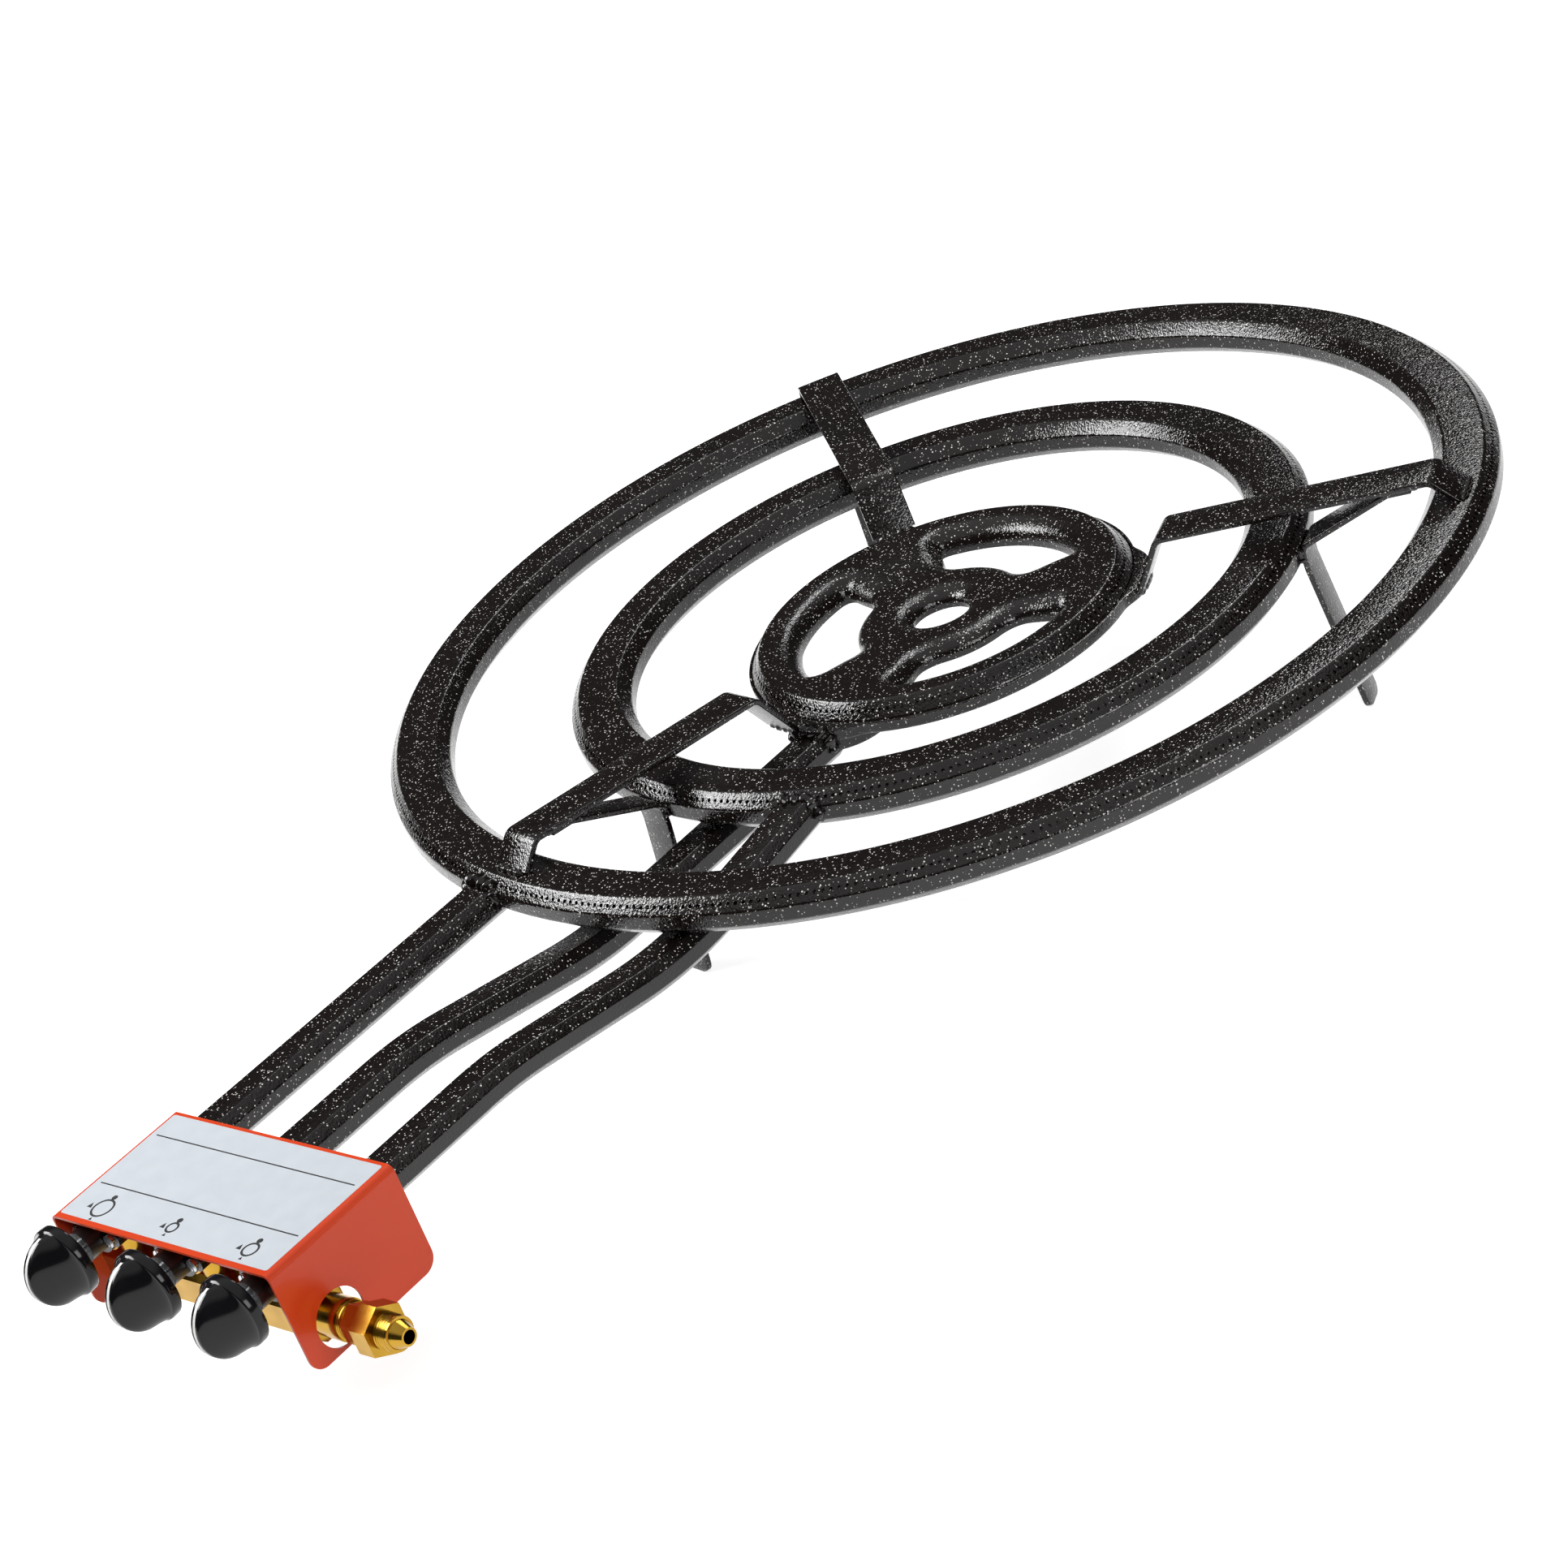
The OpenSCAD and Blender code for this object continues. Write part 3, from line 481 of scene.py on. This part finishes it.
def smoothed(points, reach_of):
    """Rounds the corners of a closed, evenly spaced outline by averaging over a reach in millimetres."""
    count = len(points)
    step = (points[1] - points[0]).length
    out = []
    for k, here in enumerate(points):
        span = max(1, round(reach_of(here) / step))
        total = Vector((0, 0))
        for j in range(-span, span + 1):
            total += points[(k + j) % count]
        out.append(total / (2 * span + 1))
    return out


def evenly(points, step):
    """Resamples a closed outline at an even spacing."""
    loop = points + points[:1]
    length = sum((loop[k + 1] - loop[k]).length for k in range(len(points)))
    count = round(length / step)
    out, k, done = [], 0, 0.0
    for j in range(count):
        goal = length * j / count
        while done + (loop[k + 1] - loop[k]).length < goal:
            done += (loop[k + 1] - loop[k]).length
            k += 1
        run = loop[k + 1] - loop[k]
        out.append(loop[k] + run * ((goal - done) / run.length))
    return out


def polar(r, degrees):
    """Point at a radius and an angle around the ring axis."""
    return Vector((r * math.cos(math.radians(degrees)), r * math.sin(math.radians(degrees))))


def offset_outline(points, distance):
    """Moves a closed outline sideways; positive is to the right of its run."""
    count = len(points)
    out = []
    for k in range(count):
        run = (points[(k + 1) % count] - points[k - 1]).normalized()
        out.append(points[k] + Vector((run.y, -run.x)) * distance)
    return out


def opening_outline(middle):
    """Seam line of a curved opening: sharp outer corners, wide inner ones."""
    near, far = OPENING_NEAR_R, OPENING_FAR_R
    near_half, far_half, steps = 34.3, 38.8, 12
    flare = far_half - near_half
    raw = [polar(far, middle + a) for a in range(-38, 39)]
    raw += [polar(far + (near - far) * k / steps, middle + far_half - flare * k / steps) for k in range(steps + 1)]
    raw += [polar(near, middle - a) for a in range(-33, 34)]
    raw += [polar(near + (far - near) * k / steps, middle - near_half - flare * k / steps) for k in range(steps + 1)]
    curved = smoothed(evenly(raw, 1.0), lambda q: 2.0 + max(0.0, far - q.length) / (far - near) * 8.0)
    return smoothed(evenly(curved, 1.0), lambda q: 3.0)


def circle_outline(r, count):
    """Circle around the ring axis as evenly spaced points."""
    return [polar(r, 360.0 * k / count) for k in range(count)]


def lug_outline(count):
    """Rim of the lower half with its three lugs."""
    raw = []
    for k in range(count):
        a = 360.0 * k / count
        reach = INNER_R
        for middle in LUG_ANGLES:
            off = math.radians(a - middle)
            inside = LUG_R ** 2 - (LUG_CENTRE_R * math.sin(off)) ** 2
            if math.cos(off) > 0 and inside > 0:
                reach = max(reach, LUG_CENTRE_R * math.cos(off) + math.sqrt(inside))
        raw.append(polar(reach, a))
    return smoothed(raw, lambda q: 3.0)


def add_row(verts, outline, z):
    """Adds an outline's points at a height and gives their numbers."""
    row = list(range(len(verts), len(verts) + len(outline)))
    verts += [Vector(part_point(q.x, q.y, z)) for q in outline]
    return row


def skin(faces, low, high, flip=False):
    """Quads between two closed rows."""
    count = len(low)
    for j in range(count):
        n = (j + 1) % count
        quad = (low[j], low[n], high[n], high[j])
        faces.append(quad[::-1] if flip else quad)


def flat_fill(verts, faces, rows, up):
    """Fills a level face bounded by a first row and holed by the others."""
    order = [k for row in rows for k in row]
    for triangle in tessellate_polygon([[verts[k] for k in row] for row in rows]):
        face = [order[k] for k in triangle]
        a, b, c = (verts[k] for k in face)
        if ((b - a).cross(c - a).z > 0) != up:
            face.reverse()
        faces.append(face)


def cap_height(r):
    """Height of the cap's top over the seam: the hub lies a little lower than the rim."""
    slope_start, slope_run = 36.0, 48.0
    share = min(1.0, max(0.0, (r - slope_start) / slope_run))
    return INNER_HALF_H - HUB_DIP * (1 - share * share * (3 - 2 * share))


def within(outline, spot):
    """Whether a point lies inside a closed outline."""
    inside = False
    for k in range(len(outline)):
        a, b = outline[k - 1], outline[k]
        if (a.y > spot.y) != (b.y > spot.y) and spot.x < a.x + (spot.y - a.y) * (b.x - a.x) / (b.y - a.y):
            inside = not inside
    return inside


def dished_fill(verts, faces, rows, outlines):
    """Fills the cap's dished top between its rim and the rolled openings with evenly spread points."""
    clearance, spacing, inner_r, outer_r = 2.5, 4, 30, 95
    index = [k for row in rows for k in row]
    spots = [q for outline in outlines for q in outline]
    edges, base = [], 0
    for outline in outlines:
        count = len(outline)
        edges += [(base + j, base + (j + 1) % count) for j in range(count)]
        base += count
    keep_off = [offset_outline(outline, clearance) for outline in outlines[1:]]
    for r in range(inner_r, outer_r, spacing):
        count = int(2 * math.pi * r / spacing)
        for q in circle_outline(r, count):
            if not any(within(outline, q) for outline in keep_off):
                spots.append(q)
                index += add_row(verts, [q], SEAM_Z + cap_height(r))
    points, _, triangles, origins, _, _ = delaunay_2d_cdt(spots, edges, [], 0, 1e-5)
    for triangle in triangles:
        middle = (points[triangle[0]] + points[triangle[1]] + points[triangle[2]]) / 3
        if not any(within(outline, middle) for outline in outlines[1:]):
            faces.append([index[origins[k][0]] for k in triangle])


def seam_edges():
    """Seam lines of the three curved openings and of the hub's hole."""
    return [opening_outline(middle) for middle in OPENING_MIDDLES] + [circle_outline(HUB_HOLE_R, 120)]


def burner_cap():
    """Pressed upper half: sheet rolled down to the seam at every opening, ports around its sloping rim."""
    verts, faces = [], []
    ports, ported, roll_steps = 158, 3, 12
    columns = 2 * ports
    rim = [(CAP_TOP_R, 92.5), (97.4, 92.42), (98.0, 92.1), (98.45, 91.6), (103.6, 85.1),
           (103.95, 84.6), (104.15, 84.0), (104.2, 83.2), (104.2, 80.6)]
    rows = [add_row(verts, circle_outline(r, columns), z) for r, z in rim]
    for k in range(len(rows) - 1):
        if k == ported:
            ported_band(verts, faces, rows[k + 1], rows[k], ports, CAP_PORT_R * MM, PORT_DEPTH * MM)
        else:
            skin(faces, rows[k + 1], rows[k])
    top_rows, top_outlines = [rows[0]], [circle_outline(CAP_TOP_R, columns)]
    for edge in seam_edges():
        rolled = []
        for s in range(roll_steps + 1):
            t = math.pi / 2 * s / roll_steps
            outline = offset_outline(edge, ROLL_REACH * (1 - math.cos(t)))
            row = []
            for q in outline:
                row += add_row(verts, [q], SEAM_Z + cap_height(q.length) * math.sin(t))
            rolled.append(row)
        for k in range(roll_steps):
            skin(faces, rolled[k + 1], rolled[k])
        top_rows.append(rolled[-1])
        top_outlines.append(outline)
    dished_fill(verts, faces, top_rows, top_outlines)
    return add_piece("pressed_burner_cap", verts, faces, ENAMEL, stands_for=("inner_burner_top",))


def burner_tray():
    """Pressed lower half: a shallow tray with a lip around the cap, three lugs and a boss for its gas."""
    verts, faces, flat_rows = [], [], []
    count, lip_r, boss_y = 480, 104.6, -87.5
    lip, rim = circle_outline(lip_r, count), lug_outline(count)
    profile = [(lip, 82.0), (lip, 84.2), (offset_outline(rim, -0.6), 84.2), (offset_outline(rim, -0.15), 84.05),
               (rim, 83.6), (rim, 79.0), (offset_outline(rim, -0.4), 78.1), (offset_outline(rim, -1.4), 77.5)]
    wall = ((1.6, 81.9), (1.6, 79.0), (1.95, 78.0), (2.8, 77.5))
    rows = [add_row(verts, outline, z) for outline, z in profile]
    for k in range(len(rows) - 1):
        skin(faces, rows[k + 1], rows[k])
    flat_rows.append(rows[-1])
    for edge in seam_edges():
        walls = [add_row(verts, offset_outline(edge, off), z) for off, z in wall]
        for k in range(len(walls) - 1):
            skin(faces, walls[k], walls[k + 1])
        flat_rows.append(walls[-1])
    flat_fill(verts, faces, flat_rows, False)
    boss = [(26.0, 78.0), (26.0, 73.0), (25.4, 71.4), (23.6, 70.6), (0.01, 70.5)]
    rings = [add_row(verts, [q + Vector((0, boss_y)) for q in circle_outline(r, 72)], z) for r, z in boss]
    for k in range(len(rings) - 1):
        skin(faces, rings[k + 1], rings[k])
    return add_piece("pressed_burner_tray", verts, faces, ENAMEL, stands_for=("inner_burner_base",))


def ring_reach(radius, mid_z, z):
    """Outer radius of a folded ring at a height."""
    off = z - mid_z
    flat_up, flat_down = RING_H / 2 - RING_CHAMFER, RING_H / 2 - RING_FOOT_CHAMFER
    return radius - max(0.0, off - flat_up, -off - flat_down)


def tube_weld(name, x, mid_z, reach_at, seed):
    """Weld over the top and down both sides of a feed tube's end."""
    half, rise, cut, radius = FEED_W / 2, FEED_H / 2, FEED_CHAMFER, 3.6
    over = [(-half, -rise + cut), (-half, rise - cut), (-half + cut, rise),
            (half - cut, rise), (half, rise - cut), (half, -rise + cut)]
    points = []
    for dx, dz in over:
        r = reach_at(mid_z + dz)
        points.append((x + dx, -math.sqrt(r * r - (x + dx) ** 2) - 0.3, mid_z + dz))
    weld_bead(name, points, radius, seed)


def strip_weld(name, angle, ends, seed, radius=2.0):
    """Weld along a line given by radius, height and sideways offset at an angle."""
    c, s = math.cos(math.radians(angle)), math.sin(math.radians(angle))
    weld_bead(name, [(r * c - w * s, r * s + w * c, z) for r, z, w in ends], radius, seed)


def across(r, z, half):
    """A level line across a strip, as radius, height and sideways offset."""
    return [(r, z, -half), (r, z, half)]


def welds():
    """Welds at the tubes' ends, the feet and tips of the supports, and the knees and braces of the legs."""
    tube_weld("tube_weld_1", -TAP_PITCH, FEED_Z, lambda z: ring_reach(OUTER_R, OUTER_Z, z), 11)
    tube_weld("tube_weld_3", TAP_PITCH, 90.5, lambda z: ring_reach(MIDDLE_R, MIDDLE_Z, z), 13)
    tube_weld("tube_weld_2", 0.0, 75.0, lambda z: 113.0, 12)
    foot_z = OUTER_Z + RING_H / 2 + 0.4
    knee_r, brace_r = 201.2, 265.2
    for k, angle in enumerate(SUPPORT_ANGLES, 1):
        strip_weld("bar_foot_weld_out_%d" % k, angle, across(288.6, foot_z, 11.0), 20 + k)
        strip_weld("bar_foot_weld_in_%d" % k, angle, across(284.6, foot_z, 11.0), 30 + k)
        strip_weld("bar_tip_weld_%d" % k, angle, across(113.6, 84.6, 11.5), 40 + k, 2.3)
        for side in (-1, 1):
            edge = side * LEG_W / 2
            strip_weld("knee_weld_%d_%d" % (k, side), angle,
                       [(knee_r, MIDDLE_Z - 4.5, edge), (knee_r, MIDDLE_Z + 3.5, edge)], 50 + 2 * k + side, 1.9)
        strip_weld("brace_weld_%d" % k, angle, across(brace_r, bar_height(brace_r) - 3.2, 8.5), 60 + k, 1.8)


def flat_plate(name, outline, z, thick, material):
    """Thin plate or print on the panel's top, from its outline in x and y."""
    count = len(outline)
    verts = [part_point(x, y, z) for x, y in outline] + [part_point(x, y, z + thick) for x, y in outline]
    faces = [tuple(range(count, 2 * count)), tuple(reversed(range(count)))]
    faces += [(j, (j + 1) % count, count + (j + 1) % count, count + j) for j in range(count)]
    return add_piece(name, verts, faces, material)


def ring_print(name, x, y, r_out, r_in, z, thick):
    """Printed circle line."""
    verts, faces, steps = [], [], 40
    for s in range(steps):
        a = 2 * math.pi * s / steps
        for r, h in ((r_in, z), (r_out, z), (r_out, z + thick), (r_in, z + thick)):
            verts.append(part_point(x + r * math.cos(a), y + r * math.sin(a), h))
    for s in range(steps):
        n = (s + 1) % steps
        for k in range(4):
            m = (k + 1) % 4
            faces.append((4 * s + k, 4 * n + k, 4 * n + m, 4 * s + m))
    return add_piece(name, verts, faces, INK)


def disc(x, y, r, steps=16):
    """Outline of a printed dot."""
    turns = [2 * math.pi * s / steps for s in range(steps)]
    return [(x + r * math.cos(a), y + r * math.sin(a)) for a in turns]


def label():
    """Foil label with two divider lines and a dial sign in front of each knob."""
    z, foil, ink = PANEL_TOP_Z, 0.12, 0.04
    half, front, rear, corner_r = 73.5, PANEL_FRONT + 3.0, PANEL_REAR - 2.0, 1.5
    corners = [(-half, front), (half, front), (half, rear), (-half, rear)]
    outline = [(p.x, p.y) for arc in rounded_outline(corners, corner_r, 5) for p in arc]
    flat_plate("label_foil", outline, z - 0.02, foil, LABEL)
    top = z + foil - 0.03
    line_half, line_w = 70, 0.75
    for k, y in enumerate((PANEL_REAR - 17.0, PANEL_FRONT + 25.5)):
        line = [(-line_half, y), (line_half, y), (line_half, y + line_w), (-line_half, y + line_w)]
        flat_plate("label_line_%d" % k, line, top, ink, INK)
    y, circle_w = PANEL_FRONT + 11.8, 1.15
    for k, (x, r) in enumerate(((-52.0, 6.2), (-1.5, 3.6), (53.0, 4.6))):
        high = [(x - r - 3.9, y - 1.6), (x - r - 0.7, y - 1.6), (x - r - 2.3, y + 1.8)]
        low = [(x - 1.1, y - r - 2.2), (x + 1.1, y - r - 2.2), (x, y - r - 0.4)]
        ring_print("dial_circle_%d" % k, x, y, r, r - circle_w, top, ink)
        flat_plate("dial_dot_%d" % k, disc(x, y + r + 1.4, 1.6), top, ink, INK)
        flat_plate("dial_high_%d" % k, high, top, ink, INK)
        flat_plate("dial_low_%d" % k, low, top, ink, INK)


def ridge_front(y):
    """Front of the knob's upright ridge at a height above its axis, measured from the valve's origin."""
    return RIM_FRONT + DOME_LIFT - 0.2 + math.sqrt(DOME_R ** 2 - y * y)


def soft_fall(reach):
    """Fall of the ridge's flank at a reach from its crest, rounded where it starts."""
    return math.sqrt(reach * reach + CREST_SOFTNESS ** 2) - CREST_SOFTNESS


def scooped_knob(index):
    """Moulded knob: a round skirt with a tall upright ridge, hollowed on both sides down to the skirt's edge."""
    x, back = (index - 2) * TAP_PITCH, RIM_FRONT - 5.5
    columns = 96
    edge = [(12.0, back), (17.3, back), (17.85, back + 0.3), (KNOB_R, back + 0.9),
            (KNOB_R, RIM_FRONT - 1.2), (17.8, RIM_FRONT - 0.5), (KNOB_FACE_R, RIM_FRONT)]
    verts, faces, rows = [], [], []
    for r, forward in edge:
        row = []
        for q in circle_outline(r, columns):
            row.append(len(verts))
            verts.append(part_point(x + q.x, VALVE_Y - forward, FEED_Z + q.y))
        rows.append(row)
    for k in range(len(rows) - 1):
        skin(faces, rows[k], rows[k + 1], flip=True)
    faces.append(tuple(rows[0]))
    turns = [2 * math.pi * k / columns for k in range(columns)]
    spots = [(KNOB_FACE_R * math.cos(a), KNOB_FACE_R * math.sin(a)) for a in turns]
    grid = [rows[-1]]
    # Shares of the half width at which the face is shaped, from its rim to its crest
    shares = [0.970225, 0.95, 0.9, 0.84, 0.77, 0.69, 0.6, 0.51, 0.42, 0.33,
              0.25, 0.19, 0.15, 0.125, 0.105, 0.08, 0.04, 0.0]
    for share in shares:
        row = []
        for across, high in spots:
            side = across * share
            chord = math.sqrt(KNOB_FACE_R ** 2 - high * high)
            flat = min(CREST_HALF_W, 0.4 * chord)
            fall, whole_fall = soft_fall(max(0.0, abs(side) - flat)), soft_fall(chord - flat)
            level = max(0.0, 1 - fall / max(0.01, whole_fall))
            rise = (ridge_front(high) - RIM_FRONT) * level ** HOLLOW_POWER
            row.append(len(verts))
            verts.append(part_point(x + side, VALVE_Y - RIM_FRONT - rise, FEED_Z + high))
        grid.append(row)
    for k in range(len(grid) - 1):
        skin(faces, grid[k], grid[k + 1], flip=True)
    return add_piece("scooped_knob_%d" % index, verts, faces, KNOB, "knob_set_%d" % index,
                     crease=50, stands_for=("knob_%d" % index,))


def pointer_line(index):
    """White line painted along the crest of the knob's ridge, from rim to rim over the nose."""
    x, half, proud, root, end = (index - 2) * TAP_PITCH, 0.85, 0.12, -0.5, 84
    stroke = ((-half, root), (-half * 0.9, proud * 0.6), (0.0, proud), (half * 0.9, proud * 0.6), (half, root))
    verts, faces, steps = [], [], 48
    for s in range(steps + 1):
        high = DOME_R * math.sin(math.radians(end - 2 * end * s / steps))
        for side, lift in stroke:
            verts.append(part_point(x + side, VALVE_Y - ridge_front(high) - lift, FEED_Z + high))
    for s in range(steps):
        for k in range(4):
            faces.append((5 * s + k, 5 * s + k + 1, 5 * s + k + 6, 5 * s + k + 5))
    return add_piece("pointer_line_%d" % index, verts, faces, POINTER, "knob_set_%d" % index)


def screw_thread(name, start_x, length, radius, pitch, depth):
    """Helical thread ridge around the inlet axis."""
    verts, faces, per_turn, run_out = [], [], 40, 20
    total = int(per_turn * length / pitch)
    for s in range(total + 1):
        a = 2 * math.pi * s / per_turn
        x = start_x + length * s / total
        fade = min(1.0, s / run_out, (total - s) / run_out)
        foot, crest = radius - 0.15, radius + depth * fade
        for dx, r in ((-0.42, foot), (-0.1, crest), (0.1, crest), (0.42, foot)):
            verts.append(part_point(x + dx * pitch, VALVE_Y + r * math.cos(a), MANIFOLD_Z + r * math.sin(a)))
    for s in range(total):
        for k in range(3):
            faces.append((4 * s + k, 4 * s + k + 1, 4 * s + k + 5, 4 * s + k + 4))
    return add_piece(name, verts, faces, BRASS)


for entry in frame["record"]["subparts"]:
    node = frame["nodes"][entry["node"]]
    node.data.materials.clear()
    node.data.materials.append(FINISH[entry["material_slot"]])

folded_ring("folded_outer_ring", OUTER_R, OUTER_Z, 466, "outer_ring")
folded_ring("folded_middle_ring", MIDDLE_R, MIDDLE_Z, 312, "middle_ring")
feed_tube(1, [(-FEED_START, FEED_Z), (-284.0, FEED_Z)], -TAP_PITCH)
feed_tube(2, [(-FEED_START, FEED_Z), (-FEED_LEVEL_END, FEED_Z), (-288.0, 73.5), (-106.0, 73.5)], 0.0)
feed_tube(3, [(-FEED_START, FEED_Z), (-FEED_LEVEL_END, FEED_Z), (-290.0, 77.5), (-184.0, 92.0)], TAP_PITCH)
for number, support_angle in enumerate(SUPPORT_ANGLES, 1):
    pan_support(number, support_angle)
    leg(number, support_angle)
burner_cap()
burner_tray()
welds()
label()
for number in (1, 2, 3):
    scooped_knob(number)
    pointer_line(number)
screw_thread("hose_thread", 107.8, 8.0, 7.9, 1.5, 0.45)
screw_thread("nipple_thread", 84.4, 3.2, 8.75, 1.2, 0.4)


# Stage

def studio():
    """White floor, soft lights from both sides and behind, and a world that is bright above and dim at the sides."""
    scene = bpy.context.scene
    scene.view_settings.view_transform = "Standard"
    floor_mesh = bpy.data.meshes.new("floor")
    half_m, floor_glow = 9, 0.75
    corners = [(-half_m, -half_m, 0), (half_m, -half_m, 0), (half_m, half_m, 0), (-half_m, half_m, 0)]
    floor_mesh.from_pydata(corners, [], [(0, 1, 2, 3)])
    floor = bpy.data.objects.new("floor", floor_mesh)
    scene.collection.objects.link(floor)
    material, tree, shader = new_material("white_studio_floor", Roughness=0.9)
    shader.inputs["Base Color"].default_value = linear("#cfcfcf")
    shader.inputs["Specular IOR Level"].default_value = 0.0
    shader.inputs["Emission Color"].default_value = (1, 1, 1, 1)
    ray = add_node(tree, "LightPath")
    either = {"operation": "MAXIMUM"}
    seen = add_node(tree, "Math", either, {0: ray.outputs["Is Camera Ray"], 1: ray.outputs["Is Glossy Ray"]})
    shown = add_node(tree, "Math", either, {0: seen.outputs[0], 1: ray.outputs["Is Transmission Ray"]})
    glow = add_node(tree, "Math", {"operation": "MULTIPLY", 1: floor_glow}, {0: shown.outputs[0]})
    tree.links.new(glow.outputs[0], shader.inputs["Emission Strength"])
    floor_mesh.materials.append(material)

    world = bpy.data.worlds.new("studio")
    scene.world = world
    world.use_nodes = True
    tree = world.node_tree
    background = tree.nodes["Background"]
    place = add_node(tree, "TexCoord")
    split = add_node(tree, "SeparateXYZ", links={"Vector": place.outputs["Generated"]})
    height = add_node(tree, "MapRange", {"From Min": 0.55, "From Max": 0.8, "To Min": 0.05, "To Max": 0.66},
                      {"Value": split.outputs["Z"]})
    tree.links.new(height.outputs["Result"], background.inputs["Strength"])
    background.inputs["Color"].default_value = (1, 1, 1, 1)

    for name, place_m, aim_m, width_m, height_m, power in (
            ("left_softbox", (-1.31, -0.73, 1.32), (0, 0.15, 0.09), 1.1, 0.75, 37.0),
            ("right_softbox", (1.9, -0.35, 0.95), (0, -0.15, 0.05), 1.2, 0.8, 18.0),
            ("strip_behind", (-0.53, 1.31, 1.5), (0, 0.0, 0.09), 0.25, 1.2, 7.0)):
        lamp = bpy.data.lights.new(name, "AREA")
        lamp.shape = "RECTANGLE"
        lamp.size = width_m
        lamp.size_y = height_m
        lamp.energy = power
        holder = bpy.data.objects.new(name, lamp)
        holder.location = place_m
        holder.rotation_euler = (Vector(aim_m) - Vector(place_m)).to_track_quat("-Z", "Y").to_euler()
        scene.collection.objects.link(holder)


def camera():
    """Camera at the photograph's place: a long lens, tilted, above the inlet side of the knobs."""
    data = bpy.data.cameras.new("camera")
    data.sensor_width = 36.0
    data.lens = 87.21
    data.clip_end = 50
    holder = bpy.data.objects.new("camera", data)
    right = (0.721747, 0.611619, -0.324043)
    up = (-0.091636, 0.548477, 0.831129)
    back = (0.686064, -0.570171, 0.451908)
    place = part_point(1308.97, -1228.92, 932.43)
    holder.matrix_world = Matrix(((right[0], up[0], back[0], place[0]), (right[1], up[1], back[1], place[1]),
                                  (right[2], up[2], back[2], place[2]), (0, 0, 0, 1)))
    bpy.context.scene.collection.objects.link(holder)
    bpy.context.scene.camera = holder


studio()
camera()
